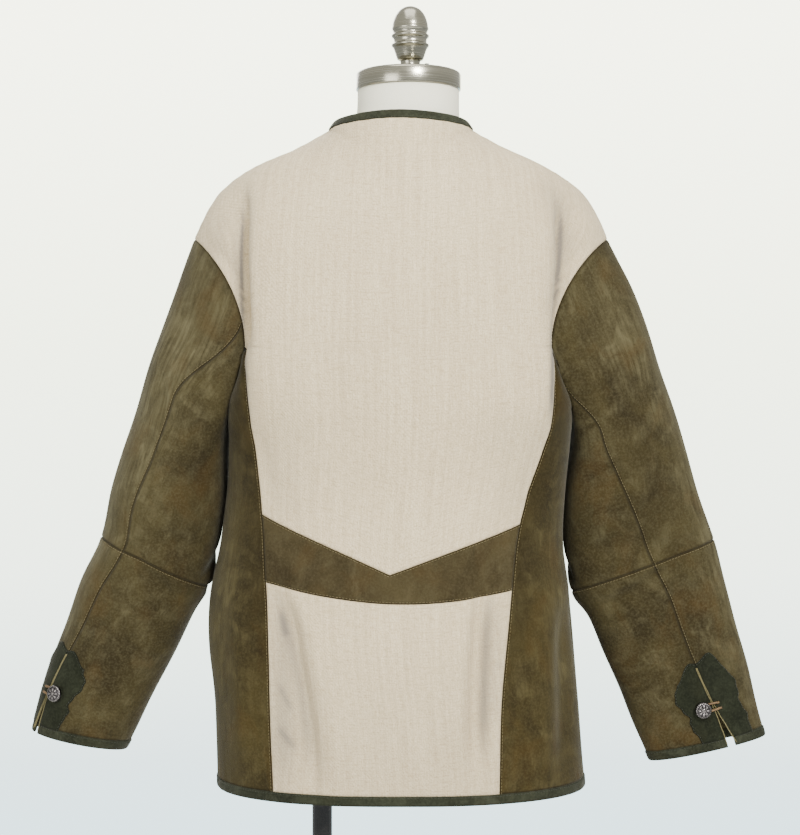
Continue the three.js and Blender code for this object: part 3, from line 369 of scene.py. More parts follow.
JACKET = dict(bottom=HEM_Z, sections=BODY, shoulder=jacket_shoulder, reach=1)
FORM = dict(bottom=FORM_BOTTOM_Z, sections=FORM_BODY, shoulder=form_shoulder, reach=FORM_SHARE)
BACK = dict(JACKET, sign=1, depth=2, neck_y=62, neck_z=1391, armhole_y=75)
FRONT = dict(JACKET, sign=-1, depth=3, neck_y=-88, neck_z=1308, armhole_y=70)
FORM_BACK = dict(FORM, sign=1, depth=2, neck_y=53, neck_z=1383, armhole_y=0)
FORM_FRONT = dict(FORM, sign=-1, depth=3, neck_y=-77, neck_z=1301, armhole_y=0)


def row_of(z):
    return (z - HEM_Z) / (YOKE_Z - HEM_Z)


def top_edge(face, s):
    """The top edge: half the neckline, a quarter ellipse that drops late, then the shoulder."""
    side = np.where(s < 0, -1.0, 1.0)
    share = np.abs(s) / NECK_SHARE
    beyond = np.clip((np.abs(s) - NECK_SHARE) / (1 - NECK_SHARE), 0, 1)
    row = face["shoulder"](beyond)
    corner = face["shoulder"](np.zeros(1))[0]
    angle = np.minimum(share, 1) * RIGHT_ANGLE
    out, deep = np.sin(angle), np.maximum(np.cos(angle), 0)
    neck_z = lerp(corner[1], face["neck_z"], deep**NECK_DROP)
    neckline = np.stack([side * corner[0] * out, lerp(SHOULDER_Y, face["neck_y"], deep), neck_z], -1)
    shoulder = np.stack([side * row[..., 0], SHOULDER_Y * (1 - beyond), row[..., 1]], -1)
    return np.where((share > 1)[..., None], shoulder, neckline)


def plain_body(face, t, s):
    """The body before its folds. Up to t = 1 it is a level superellipse at each height; from
    there to t = 2 it runs on a superellipse arch up to the top edge, whose corners fade below it."""
    t, s = np.broadcast_arrays(np.asarray(t, float), np.asarray(s, float))
    z = lerp(face["bottom"], YOKE_Z, np.minimum(t, 1))
    row = along(face["sections"], z)
    across, deep = superellipse(s * RIGHT_ANGLE, BODY_ROUNDNESS)
    drop = np.clip((YOKE_Z - z) / (YOKE_Z - ARMPIT_Z), 0, 1)
    arc = face["armhole_y"] * np.sqrt(1 - drop * drop)
    edge = lerp(face["armhole_y"] * smooth(z, 1000, YOKE_Z), arc, np.abs(s) ** 6)
    x = row[..., 0] + row[..., 1] * across
    y = face["sign"] * lerp(edge, row[..., face["depth"]], deep)
    u = np.clip(t - 1, 0, 1)
    spread = np.where(t < 2, np.minimum(CORNER_SPREAD * (1 - u**3), 1 - np.abs(s)), 0)
    top = sum(top_edge(face, s + f * spread) for f in (-1, -0.5, 0, 0.5, 1)) / 5
    beyond = np.maximum(np.abs(s) - NECK_SHARE, 0)
    place = np.abs(s) - beyond + beyond * face["reach"]
    part = lerp(NECK_ARCH, 1, smooth(place, 0, ARCH_SHARE)) * RIGHT_ANGLE
    rise, depth = superellipse(u * part, YOKE_ROUNDNESS)
    rise_end, depth_end = superellipse(part, YOKE_ROUNDNESS)
    return np.stack([
        lerp(x, top[..., 0], np.sin(u * RIGHT_ANGLE) ** 2),
        lerp(top[..., 1], y, (depth - depth_end) / (1 - depth_end)),
        lerp(z, top[..., 2], rise / rise_end),
    ], -1)


def body_fold(sign, x, z):
    """How far the folds move a place outwards: each is a bell across its bowed line, with its
    own slope on either side, that fades at both ends; depths below 0 are troughs."""
    total = np.zeros(np.shape(x))
    for _, *line, left, right, depth in BODY_FOLDS[BODY_FOLDS[:, 0] == sign]:
        f, off = along_line(x, z, *line)
        width = np.where(off > 0, left, right)
        ends = smooth(f, -0.12, 0.25) * (1 - smooth(f, 0.75, 1.12))
        total += depth * np.exp(-((off / width) ** 2)) * ends
    return total


def twill_shade(x, z):
    """How much painted shade darkens the twill at a place of the back: in its creases, a little near the hem
    and towards the sides.
    """
    total = 0.2 * (1 - smooth(z, 700, 920)) + 0.1 * smooth(np.abs(x), 90, 200)
    for *line, width, strength in TWILL_SHADES:
        f, off = along_line(x, z, *line)
        ends = smooth(f, -0.1, 0.3) * (1 - smooth(f, 0.75, 1.08))
        total += strength * np.exp(-((off / width) ** 2)) * ends
    return np.clip(total, 0, 1)


def ripple(x, z, seed):
    """Slow unevenness of hanging cloth: a few crossed waves of 50 to 130 mm, at most about 1."""
    waves = [(0.047, 0.013, 0.5), (0.021, 0.052, 0.4), (-0.033, 0.029, 0.45), (0.085, 0.02, 0.2)]
    return sum(a * np.sin(x * kx + z * kz + seed * (i + 1.7)) for i, (kx, kz, a) in enumerate(waves))


def unit(v):
    return v / np.maximum(np.linalg.norm(v, axis=-1, keepdims=True), 1e-9)


def surface_normal(point_of, a, b, step_a, step_b, low_a, high_a):
    """Cross product of a surface's two slopes, from points a small step to either side."""
    a0, a1 = np.clip(a - step_a, low_a, high_a), np.clip(a + step_a, low_a, high_a)
    slope_b = point_of(a, b + step_b) - point_of(a, b - step_b)
    return unit(np.cross(point_of(a1, b) - point_of(a0, b), slope_b))


def body_normal(face, t, s):
    s = np.clip(s, -0.999, 0.999)
    return face["sign"] * surface_normal(lambda a, b: plain_body(face, a, b), t, s, 1e-3, 1e-3, 0, 2)


def body_point(face, t, s, lift=0.0):
    """The plain body moved along its normal by the folds, a slow ripple and a lift."""
    t, s = np.broadcast_arrays(np.asarray(t, float), np.asarray(s, float))
    plain = plain_body(face, t, s)
    x, z = plain[..., 0], plain[..., 2]
    fade = 1 - smooth(np.abs(s), 0.94, 1)
    out = (body_fold(face["sign"], x, z) + 0.7 * ripple(x, z, face["sign"])) * fade + lift
    dip = HEM_DIP * (1 - smooth(z, HEM_Z, 810))
    return plain + body_normal(face, t, s) * out[..., None] - dip[..., None] * [0, 0, 1]


def share_at(face, t, x):
    """The place s at which a face lies at x on the row t, found by halving."""
    t, x = np.broadcast_arrays(np.asarray(t, float), np.asarray(x, float))
    low, high = np.full(t.shape, -1.0), np.full(t.shape, 1.0)
    for _ in range(24):
        middle = (low + high) / 2
        left = plain_body(face, t, middle)[..., 0] < x
        low, high = np.where(left, middle, low), np.where(left, high, middle)
    return (low + high) / 2


def seam_share(face, name, z, side):
    x = along(SEAMS, z)[..., SEAM_COLUMN[name, side]]
    return share_at(face, row_of(z), x)


# Meshes.

CLOTH = {}


def put(name, vertices, faces, finish, stands_for=None, uv=None, attributes=None, sharp=None):
    """A mesh object from arrays of places in millimetres and quads, with its finish, its own UV
    map and the node that it stands for."""
    mesh = bpy.data.meshes.new(name)
    vertices = (np.asarray(vertices, float) - [CENTRE_SHIFT, 0, 0]) * MM
    faces = np.asarray(faces, np.int32)
    mesh.vertices.add(len(vertices))
    mesh.vertices.foreach_set("co", vertices.astype(np.float32).ravel())
    mesh.loops.add(faces.size)
    mesh.loops.foreach_set("vertex_index", faces.ravel())
    mesh.polygons.add(len(faces))
    mesh.polygons.foreach_set("loop_start", np.arange(0, faces.size, faces.shape[1], dtype=np.int32))
    mesh.update(calc_edges=True)
    mesh.validate()
    mesh.polygons.foreach_set("use_smooth", np.ones(len(faces), bool))
    if sharp is not None:
        layer = mesh.attributes.get("sharp_face") or mesh.attributes.new("sharp_face", "BOOLEAN", "FACE")
        layer.data.foreach_set("value", sharp)
    if uv is not None:
        layer = mesh.uv_layers.new(name="cloth")
        layer.data.foreach_set("uv", uv[faces.ravel()].astype(np.float32).ravel())
    for key, values in (attributes or {}).items():
        layer = mesh.attributes.new(key, "FLOAT", "POINT")
        layer.data.foreach_set("value", np.asarray(values, np.float32).ravel())
    mesh.materials.append(finish)
    piece = bpy.data.objects.new(name, mesh)
    bpy.context.scene.collection.objects.link(piece)
    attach(piece, "root")
    if stands_for:
        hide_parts(stands_for)
    return piece


def grid_faces(rows, columns, offset=0, flip=False):
    index = np.arange(rows * columns).reshape(rows, columns) + offset
    corners = [index[:-1, :-1], index[:-1, 1:], index[1:, 1:], index[1:, :-1]]
    quads = np.stack(corners, -1).reshape(-1, 4)
    return quads[:, ::-1] if flip else quads


def capped(ring):
    """Quads across a ring with an even number of places."""
    n = len(ring)
    return [[ring[k], ring[k + 1], ring[n - 2 - k], ring[n - 1 - k]] for k in range(n // 2 - 1)]


def facing_out(points, faces):
    """The faces, turned round if the closed mesh that they make has a volume below zero."""
    a, b, c, d = (points[faces[:, k]] for k in range(4))
    volume = (np.cross(a, b) * c + np.cross(a, c) * d).sum()
    return faces[:, ::-1] if volume < 0 else faces


def tube_faces(rows, columns, first=True, last=True):
    """Quads between rings of places, one after the other, and across the first and the last."""
    index = np.arange(rows * columns).reshape(rows, columns)
    after = np.roll(index, -1, axis=1)
    faces = [np.stack([index[:-1], after[:-1], after[1:], index[1:]], -1).reshape(-1, 4)]
    if first:
        faces.append(np.array(capped(index[0]))[:, ::-1])
    if last:
        faces.append(np.array(capped(index[-1])))
    return np.concatenate(faces)


def circle(count):
    """Angles round a circle."""
    return np.linspace(0, 2 * math.pi, count + 1)[:-1]


def round_line(first, second, count):
    """Directions round a line whose two cross directions are given, one or one for each place."""
    angle = circle(count)
    first, second = np.asarray(first)[..., None, :], np.asarray(second)[..., None, :]
    return np.cos(angle)[:, None] * first + np.sin(angle)[:, None] * second


def run_of(path):
    """Length of a path up to each of its places."""
    return np.concatenate([[0], np.cumsum(np.linalg.norm(np.diff(path, axis=0), axis=1))])


def lengths(points, axis):
    """Length of the lines of a grid up to each of its points, along an axis."""
    step = np.linalg.norm(np.diff(points, axis=axis), axis=-1)
    pad = np.zeros_like(np.take(step, [0], axis=axis))
    return np.concatenate([pad, np.cumsum(step, axis=axis)], axis=axis)


def grid_normals(points, guide):
    """Normals of a grid from its own slopes, on the side of the guide's."""
    normal = unit(np.cross(np.gradient(points, axis=1), np.gradient(points, axis=0)))
    return normal * np.where((normal * guide).sum(-1, keepdims=True) < 0, -1, 1)


def shell(name, stands_for, points, guide, finish, out=0.0, wall=WALL, roll=ROLL_DEPTH,
          roll_width=ROLL_WIDTH, pucker=PUCKER_DEPTH, marks=None):
    """A closed thin wall on a grid of points. Its outer skin lies out from the grid and its inner
    skin a wall's thickness inside it. Towards its edges the outer skin sinks by
    roll · (1 - d / roll_width)², with d the distance from the edge, and beside it the cloth
    puckers in small waves."""
    rows, columns = points.shape[:2]
    across, up = lengths(points, 1), lengths(points, 0)
    beside = np.minimum(across, across[:, -1:] - across)
    below = np.minimum(up, up[-1:] - up)
    near = np.minimum(beside, below)
    normal = grid_normals(points, guide)
    sink = roll * np.clip(1 - near / roll_width, 0, 1) ** 2
    line = np.where(beside < below, up, across)
    waves = np.sin(line * 0.37 + 2 * np.sin(line * 0.061))
    waves = waves * np.exp(-near / PUCKER_WIDTH) * smooth(near, 0, 3)
    outer = points + normal * (out - sink + pucker * waves)[..., None]
    inner = points + normal * (out - wall)
    turn = np.cross(outer[1, 1] - outer[1, 0], outer[1, 0] - outer[0, 0])
    flip = (turn * normal[1, 0]).sum() < 0
    count = rows * columns
    index = np.arange(count).reshape(rows, columns)
    border = np.concatenate([index[0, :-1], index[:-1, -1], index[-1, :0:-1], index[:0:-1, 0]])
    after = np.roll(border, -1)
    rim = np.stack([border + count, after + count, after, border], -1)
    faces = np.concatenate([
        grid_faces(rows, columns, 0, flip),
        grid_faces(rows, columns, count, not flip),
        rim[:, ::-1] if flip else rim,
    ])
    sharp = np.zeros(len(faces), bool)
    sharp[-len(rim):] = True
    u = across - across[:, [columns // 2]]
    v = np.broadcast_to(up.mean(axis=1, keepdims=True), up.shape)
    uv = np.stack([u, v], -1).reshape(-1, 2) * MM
    attributes = {"seam": np.tile(np.minimum(near, 60).ravel(), 2)}
    for key, values in (marks or {}).items():
        attributes[key] = np.tile(np.broadcast_to(values, (rows, columns)).ravel(), 2)
    vertices = np.concatenate([outer.reshape(-1, 3), inner.reshape(-1, 3)])
    CLOTH[name] = dict(outer=outer, normal=normal, across=across, up=up)
    put(name, vertices, faces, finish, stands_for, np.tile(uv, (2, 1)), attributes, sharp)


# Finishes.

def feed(tree, value, socket):
    """Links a socket to another one, or sets its value."""
    if hasattr(value, "links"):
        tree.links.new(value, socket)
    else:
        socket.default_value = value


def mix(tree, factor, a, b):
    """A colour mix; the factor and the colours are sockets or values."""
    made = tree.nodes.new("ShaderNodeMix")
    made.data_type = "RGBA"
    for index, value in ((0, factor), (6, a), (7, b)):
        feed(tree, value, made.inputs[index])
    return made.outputs[2]


def maths(tree, operation, a, b=0.0, clamp=False):
    made = tree.nodes.new("ShaderNodeMath")
    made.operation = operation
    made.use_clamp = clamp
    feed(tree, a, made.inputs[0])
    feed(tree, b, made.inputs[1])
    return made.outputs[0]


def times(tree, a, b, clamp=False):
    return maths(tree, "MULTIPLY", a, b, clamp)


def weighted(tree, *parts):
    """The sum of sockets, each times its own weight."""
    total = times(tree, *parts[0])
    for part in parts[1:]:
        total = maths(tree, "ADD", total, times(tree, *part))
    return total


def ramp(tree, socket, *stops):
    """A factor or colour read off a ramp of (place, value) stops."""
    made = tree.nodes.new("ShaderNodeValToRGB")
    elements = made.color_ramp.elements
    while len(elements) < len(stops):
        elements.new(0.5)
    for element, (place, value) in zip(elements, stops):
        element.position = place
        element.color = value if hasattr(value, "__len__") else (value, value, value, 1)
    tree.links.new(socket, made.inputs[0])
    return made.outputs[0]


def laid_over(tree, colour, other, mask, low, high, amount=1.0):
    """A second colour over the first, up to an amount, where a mask climbs from low to high."""
    part = ramp(tree, mask, (low, 0), (high, 1))
    return mix(tree, part if amount == 1 else times(tree, part, amount), colour, other)


def stretched(tree, vector, scale, turn=(0, 0, 0), shift=(0, 0, 0)):
    made = tree.nodes.new("ShaderNodeMapping")
    for key, value in (("Scale", scale), ("Rotation", turn), ("Location", shift), ("Vector", vector)):
        feed(tree, value, made.inputs[key])
    return made.outputs[0]


def noise(tree, vector, scale, detail=3.0, rough=0.55, warp=0.0):
    made = tree.nodes.new("ShaderNodeTexNoise")
    for key, value in (("Scale", scale), ("Detail", detail), ("Roughness", rough),
                       ("Distortion", warp), ("Vector", vector)):
        feed(tree, value, made.inputs[key])
    return made.outputs[0]


def group(name, inputs):
    """A shared effect with named inputs, (name, kind, value), that puts out a colour and a height."""
    tree = bpy.data.node_groups.new(name, "ShaderNodeTree")
    for key, kind, value in inputs:
        socket = tree.interface.new_socket(key, in_out="INPUT", socket_type=kind)
        if value is not None:
            socket.default_value = value
    for key, kind in (("Color", COLOUR), ("Height", FLOAT)):
        tree.interface.new_socket(key, in_out="OUTPUT", socket_type=kind)
    return tree, tree.nodes.new("NodeGroupInput").outputs, tree.nodes.new("NodeGroupOutput").inputs


FLOAT, COLOUR, VECTOR = "NodeSocketFloat", "NodeSocketColor", "NodeSocketVector"


def build_twill():
    """Melange twill: warp and weft yarns of uneven tone and thickness, and the twill's diagonal
    ribs, from the cloth's own lengths across and up; painted shade darkens it where its shade mark says."""
    tree, given, out = group("melange twill", [
        ("Cloth", VECTOR, None), ("Place", VECTOR, None), ("Yarn", COLOUR, (0.8, 0.75, 0.66, 1)),
        ("Pale yarn", COLOUR, (0.9, 0.86, 0.8, 1)), ("Dark yarn", COLOUR, (0.45, 0.38, 0.28, 1)),
        ("Painted shade colour", COLOUR, (0.2, 0.17, 0.14, 1)), ("Shade", FLOAT, 0.0),
    ])
    cloth = given["Cloth"]
    warp = noise(tree, stretched(tree, cloth, (1000, 110, 1)), 1, 2, 0.6)
    weft = noise(tree, stretched(tree, cloth, (100, 900, 1), shift=(3, 7, 0)), 1, 2, 0.6)
    broad = noise(tree, stretched(tree, cloth, (260, 9, 1), shift=(5, 2, 0)), 1, 2, 0.5)
    slubs = noise(tree, stretched(tree, cloth, (14, 420, 1), shift=(1, 9, 0)), 1, 1, 0.5)
    fleck = noise(tree, stretched(tree, cloth, (760, 560, 1)), 1, 3, 0.7)
    soil = noise(tree, given["Place"], 5.5, 3, 0.5, 0.4)
    colour = laid_over(tree, given["Yarn"], given["Pale yarn"], warp, 0.36, 0.62)
    for mask, low, high, amount in (
        (weft, 0.48, 0.7, 0.34), (slubs, 0.6, 0.76, 0.16), (fleck, 0.48, 0.68, 0.5),
        (broad, 0.35, 0.65, 0.2), (soil, 0.42, 0.7, 0.1),
    ):
        colour = laid_over(tree, colour, given["Dark yarn"], mask, low, high, amount)
    # Painted shade: the twill drawn towards a dark shade colour where the shade mark says.
    colour = mix(tree, times(tree, given["Shade"], 0.9, clamp=True), colour, given["Painted shade colour"])
    ribs = tree.nodes.new("ShaderNodeTexWave")
    ribs.bands_direction = "DIAGONAL"
    for key, value in (("Scale", 155), ("Distortion", 0.8), ("Detail", 1), ("Vector", cloth)):
        feed(tree, value, ribs.inputs[key])
    feed(tree, colour, out["Color"])
    feed(tree, weighted(tree, (ribs.outputs["Fac"], 0.45), (warp, 0.6), (weft, 0.6)), out["Height"])
    return tree


def build_suede():
    """Suede: a clouded hide, patches where the nap lies the other way and looks paler, short
    strokes along it, warm spots, and a darker line where a seam pinches it. Its nap mark lays on
    paler nap, partly as painted sheen, and its shade mark lays on painted shade."""
    tree, given, out = group("suede", [
        ("Place", VECTOR, None), ("Cloth", VECTOR, None), ("Hide", COLOUR, (0.1, 0.08, 0.03, 1)),
        ("Dark hide", COLOUR, (0.05, 0.035, 0.012, 1)), ("Raised nap", COLOUR, (0.16, 0.14, 0.08, 1)),
        ("Warm spot", COLOUR, (0.12, 0.07, 0.02, 1)), ("Nap and sheen", FLOAT, 0.0), ("Shade", FLOAT, 0.0),
        ("Seam", FLOAT, 50.0), ("Mottling", FLOAT, 1.0),
    ])
    place, cloth = given["Place"], given["Cloth"]
    clouds = noise(tree, place, 15, 5, 0.6, 0.8)
    patches = noise(tree, place, 34, 4, 0.6, 0.9)
    spots = noise(tree, stretched(tree, place, (1, 1, 0.7), shift=(4, 1, 2)), 26, 3, 0.5, 0.4)
    strokes = noise(tree, stretched(tree, cloth, (150, 26, 1), turn=(0, 0, 0.35)), 1, 4, 0.65, 0.8)
    nap = noise(tree, place, 420, 4, 0.65)
    fine = noise(tree, place, 1300, 2, 0.6)
    colour = laid_over(tree, given["Hide"], given["Dark hide"], clouds, 0.35, 0.66)
    turned_nap = times(tree, ramp(tree, patches, (0.46, 0), (0.68, 1)), 0.5)
    # The nap mark: paler raised nap, partly painted sheen along the sleeves' outer edges.
    raised = maths(tree, "ADD", turned_nap, given["Nap and sheen"])
    raised = times(tree, raised, ramp(tree, strokes, (0.32, 0.15), (0.62, 1)))
    colour = mix(tree, times(tree, raised, given["Mottling"], clamp=True), colour, given["Raised nap"])
    colour = laid_over(tree, colour, given["Warm spot"], spots, 0.52, 0.72, 0.55)
    colour = laid_over(tree, colour, given["Raised nap"], nap, 0.42, 0.66, 0.26)
    # Painted shade: the hide drawn towards its dark colour where the shade mark says.
    colour = mix(tree, times(tree, given["Shade"], 0.75, clamp=True), colour, given["Dark hide"])
    pinch = tree.nodes.new("ShaderNodeMapRange")
    for key, value in (("From Min", 0.4), ("From Max", 3.2), ("To Min", 0.7), ("To Max", 0.0),
                       ("Value", given["Seam"])):
        feed(tree, value, pinch.inputs[key])
    feed(tree, mix(tree, pinch.outputs[0], colour, given["Dark hide"]), out["Color"])
    feed(tree, weighted(tree, (nap, 0.6), (fine, 0.4), (patches, 0.8)), out["Height"])
    return tree


TWILL_GROUP = build_twill()
SUEDE_GROUP = build_suede()


def material(name, roughness=0.9, metallic=0.0, sheen=0.0, sheen_roughness=0.5,
             sheen_tint=(1, 1, 1, 1), specular=0.5, coat=0.0):
    made = bpy.data.materials.new(name)
    made.use_nodes = True
    shader = made.node_tree.nodes["Principled BSDF"]
    for key, value in (("Roughness", roughness), ("Metallic", metallic), ("Sheen Weight", sheen),
                       ("Sheen Roughness", sheen_roughness), ("Sheen Tint", sheen_tint),
                       ("Specular IOR Level", specular), ("Coat Weight", coat)):
        shader.inputs[key].default_value = value
    return made, made.node_tree, shader


def dress(tree, shader, colour, height=None, depth=0.0, roughness=None):
    """Leads a colour, and a relief of a depth in metres and a roughness, into a shader."""
    feed(tree, colour, shader.inputs["Base Color"])
    if roughness is not None:
        feed(tree, roughness, shader.inputs["Roughness"])
    if height is not None:
        relief = tree.nodes.new("ShaderNodeBump")
        relief.inputs["Distance"].default_value = depth
        feed(tree, height, relief.inputs["Height"])
        feed(tree, relief.outputs[0], shader.inputs["Normal"])


def shared(tree, effect, given):
    """A shared effect placed in a material, with its inputs linked or set."""
    made = tree.nodes.new("ShaderNodeGroup")
    made.node_tree = effect
    for key, value in given.items():
        feed(tree, value, made.inputs[key])
    return made.outputs


def place_of(tree):
    return tree.nodes.new("ShaderNodeTexCoord").outputs["Object"]


def cloth_of(tree):
    made = tree.nodes.new("ShaderNodeUVMap")
    made.uv_map = "cloth"
    return made.outputs[0]


def mark_of(tree, name):
    made = tree.nodes.new("ShaderNodeAttribute")
    made.attribute_name = name
    return made.outputs["Fac"]


def twill_material():
    made, tree, shader = material(
        "natural twill", roughness=0.92, sheen=0.12, sheen_roughness=0.6, specular=0.2)
    weave = shared(tree, TWILL_GROUP, {
        "Cloth": cloth_of(tree), "Place": place_of(tree), "Shade": mark_of(tree, "shade"),
        "Yarn": (0.635, 0.515, 0.305, 1), "Pale yarn": (0.74, 0.62, 0.4, 1),
        "Dark yarn": (0.25, 0.165, 0.08, 1), "Painted shade colour": (0.15, 0.128, 0.105, 1),
    })
    dress(tree, shader, weave["Color"], weave["Height"], 0.00035)
    return made


def suede_material(name, hide, dark, raised, warm, mottling=1.0, marked=True):
    """Suede in four colours; marked cloth says itself where its nap is raised, partly as painted sheen, and
    where painted shade darkens it.
    """
    made, tree, shader = material(
        name, roughness=0.95, sheen=0.12, sheen_roughness=0.4, sheen_tint=(0.75, 0.74, 0.62, 1),
        specular=0.15)
    given = {
        "Place": place_of(tree), "Cloth": cloth_of(tree), "Seam": mark_of(tree, "seam"),
        "Hide": (*hide, 1), "Dark hide": (*dark, 1), "Raised nap": (*raised, 1),
        "Warm spot": (*warm, 1), "Mottling": mottling,
    }
    if marked:
        # The nap mark is partly painted sheen; the shade mark is painted shade.
        given |= {"Nap and sheen": mark_of(tree, "nap"), "Shade": mark_of(tree, "shade")}
    skin = shared(tree, SUEDE_GROUP, given)
    dress(tree, shader, skin["Color"], skin["Height"], 0.0006)
    return made


TWILL = twill_material()
SLEEVE_SUEDE = suede_material(
    "olive brown suede", hide=(0.037, 0.0285, 0.0095), dark=(0.0155, 0.011, 0.0033),
    raised=(0.096, 0.083, 0.042), warm=(0.05, 0.029, 0.007))
SIDE_SUEDE = suede_material(
    "dark olive suede", hide=(0.036, 0.0265, 0.0072), dark=(0.0135, 0.0092, 0.0023),
    raised=(0.082, 0.067, 0.027), warm=(0.044, 0.0255, 0.005))
BELT_SUEDE = suede_material(
    "belt suede", hide=(0.044, 0.0335, 0.0135), dark=(0.023, 0.0165, 0.006),
    raised=(0.078, 0.064, 0.032), warm=(0.05, 0.031, 0.0095), mottling=0.9)
GREEN_SUEDE = suede_material(
    "green suede", hide=(0.0115, 0.0135, 0.0062), dark=(0.005, 0.006, 0.0026),
    raised=(0.036, 0.04, 0.023), warm=(0.017, 0.016, 0.006), mottling=0.8, marked=False)
BOUND_SUEDE = suede_material(
    "bound edge suede", hide=(0.0185, 0.0205, 0.0112), dark=(0.0085, 0.0095, 0.0045),
    raised=(0.056, 0.06, 0.037), warm=(0.024, 0.023, 0.0105), marked=False)
RAW_EDGE = suede_material(
    "raw edge", hide=(0.2, 0.175, 0.085), dark=(0.1, 0.085, 0.036),
    raised=(0.32, 0.29, 0.16), warm=(0.17, 0.135, 0.06), mottling=0.5, marked=False)


# The jacket's panels.

def belt_low(share):
    return along(BELT_LOW, share)[..., 0]


def belt_high(share):
    """The belt's V: two straight edges that meet at its middle."""
    ends = np.where(share < 0.5, BELT_HIGH["left"], BELT_HIGH["right"])
    return lerp(ends, BELT_HIGH["middle"], 1 - np.abs(2 * share - 1))


PARTS = 1 - 2 * spaced(300, 1.9)


def between_seams(face, name, z, part):
    """Body places at heights z, part of the way from the middle (0) to the left (1) or right
    seam (-1), with the plain body's normals."""
    z, part = np.broadcast_arrays(z, part)
    t = row_of(z)
    left, right = np.abs(seam_share(face, name, z, 1)), np.abs(seam_share(face, name, z, -1))
    s = part * np.where(part < 0, right, left)
    return body_point(face, t, s), body_normal(face, t, s)


def back_panel(low, high, rows):
    share = (1 - PARTS) / 2
    z = lerp(low(share)[None, :], high(share)[None, :], rows[:, None])
    return between_seams(BACK, "back", z, PARTS[None, :])


def yoke(face, parts, rows):
    t, s = np.broadcast_arrays(rows[:, None], parts[None, :])
    return body_point(face, t, s), body_normal(face, t, s)


def stacked(low, high):
    """Two grids of points and normals one above the other, the shared row kept once."""
    return tuple(np.concatenate([a, b[1:]]) for a, b in zip(low, high))


def flat(value):
    return lambda share: np.full(np.shape(share), float(value))


def make_twill(name, stands_for, points, normals):
    # The twill's painted shade, from its creases, the hem and the sides.
    shade = twill_shade(points[..., 0], points[..., 2])
    shell(name, stands_for, points, normals, TWILL, marks=dict(shade=shade))


def make_back():
    make_twill("back_lower_twill", "back_lower", *back_panel(flat(PANEL_Z), belt_low, spaced(200, 3)))
    belt = back_panel(belt_low, belt_high, spaced(50, 2.5))
    shell("belt_suede", "back_belt", *belt, BELT_SUEDE, out=0.5, marks=dict(nap=0.0, shade=0.0))
    low_rows, high_rows = rows_past_yoke(215, 290, 3)
    below, above = back_panel(belt_high, flat(YOKE_Z), low_rows), yoke(BACK, PARTS, high_rows)
    make_twill("back_upper_twill", "back_upper", *stacked(below, above))


make_back()


# The side panels: from the back seam round the side to the front seam, up to the armhole.

def side_grid(side, seam_rows, columns):
    """A side panel's places: its levels are spread between the hem and the armhole's arc, and
    near the top its rows crowd towards the side, to meet that arc."""
    f = np.where(columns <= 0.5, 2 * columns, 2 - 2 * columns)
    behind = columns <= 0.5
    top = lerp(YOKE_Z, ARMPIT_Z, np.sin(f * RIGHT_ANGLE))
    z = lerp(PANEL_Z, top[None, :], seam_rows[:, None])
    rise = np.where(f > 0, smooth(z, 1000, np.broadcast_to(top, z.shape)), 0)
    places, normals = [], []
    for face, name in ((BACK, "back"), (FRONT, "front")):
        start = seam_share(face, name, z, side)
        s = lerp(start, side, np.maximum(f, 1e-9) ** (1 - rise))
        s = np.where(f > 0, s, start)
        places.append(body_point(face, row_of(z), s))
        normals.append(body_normal(face, row_of(z), s))
    return np.where(behind[None, :, None], *places), np.where(behind[None, :, None], *normals)


def make_side(name, side):
    columns, rows = spaced(225, 3), spaced(450, 3.4)
    points, normals = side_grid(side, rows, columns)
    nap = 0.55 * bell(columns, 0.22, 0.1)[None, :] * bell(rows, 0.4, 0.25)[:, None]
    # Painted shade along the back seam, growing up towards the armhole.
    shade = 0.5 * bell(columns, 0, 0.12)[None, :] * smooth(rows, 0.1, 0.5)[:, None]
    marks = dict(nap=nap, shade=shade)
    shell(f"side_suede_{name}", f"side_{name}", points, normals, SIDE_SUEDE, marks=marks)


for name, side in SIDES:
    make_side(name, side)


# The fronts.

FRONTS = dict(
    right=dict(side=-1, edge=OVERLAP_X, panel=OVERLAP_X - BINDING_HEIGHT, lift=OVER_LIFT),
    left=dict(side=1, edge=UNDER_X, panel=UNDER_X + BINDING_HEIGHT, lift=0),
)
FRONT_ROWS = rows_past_yoke(450, 260, 4)


def over_lift(front, x):
    """The closing front's lift: none at its side, whole at the middle."""
    return front["lift"] * smooth(x, -78, -34)


def front_place(front, t, s, lift=0.0):
    x = plain_body(FRONT, t, s)[..., 0]
    return body_point(FRONT, t, s, over_lift(front, x) + lift), body_normal(FRONT, t, s)


def front_share(t, x):
    return share_at(FRONT, t, np.full(len(t), float(x)))


def edge_shares(t):
    """Where the closing and the covered front's edges lie on the row t."""
    return share_at(FRONT, np.full(2, t), np.array([OVERLAP_X, UNDER_X], float))


def make_front(name):
    front = FRONTS[name]
    low, high = FRONT_ROWS
    z = lerp(PANEL_Z, YOKE_Z, low)
    t = np.concatenate([row_of(z), high[1:]])
    seam = seam_share(FRONT, "front", z, front["side"])
    outer = np.concatenate([seam, np.full(len(high) - 1, front["side"])])
    inner = front_share(t, front["panel"])
    columns = spaced(180, 3.4)
    points, normals = front_place(front, t[:, None], lerp(outer[:, None], inner[:, None], columns[None, :]))
    nap = 0.4 * bell(columns, 0.5, 0.2)[None, :] * bell(np.linspace(0, 1, len(t)), 0.7, 0.2)[:, None]
    marks = dict(nap=nap, shade=0.0)
    shell(f"front_suede_{name}", f"front_{name}", points, normals, SLEEVE_SUEDE, marks=marks)


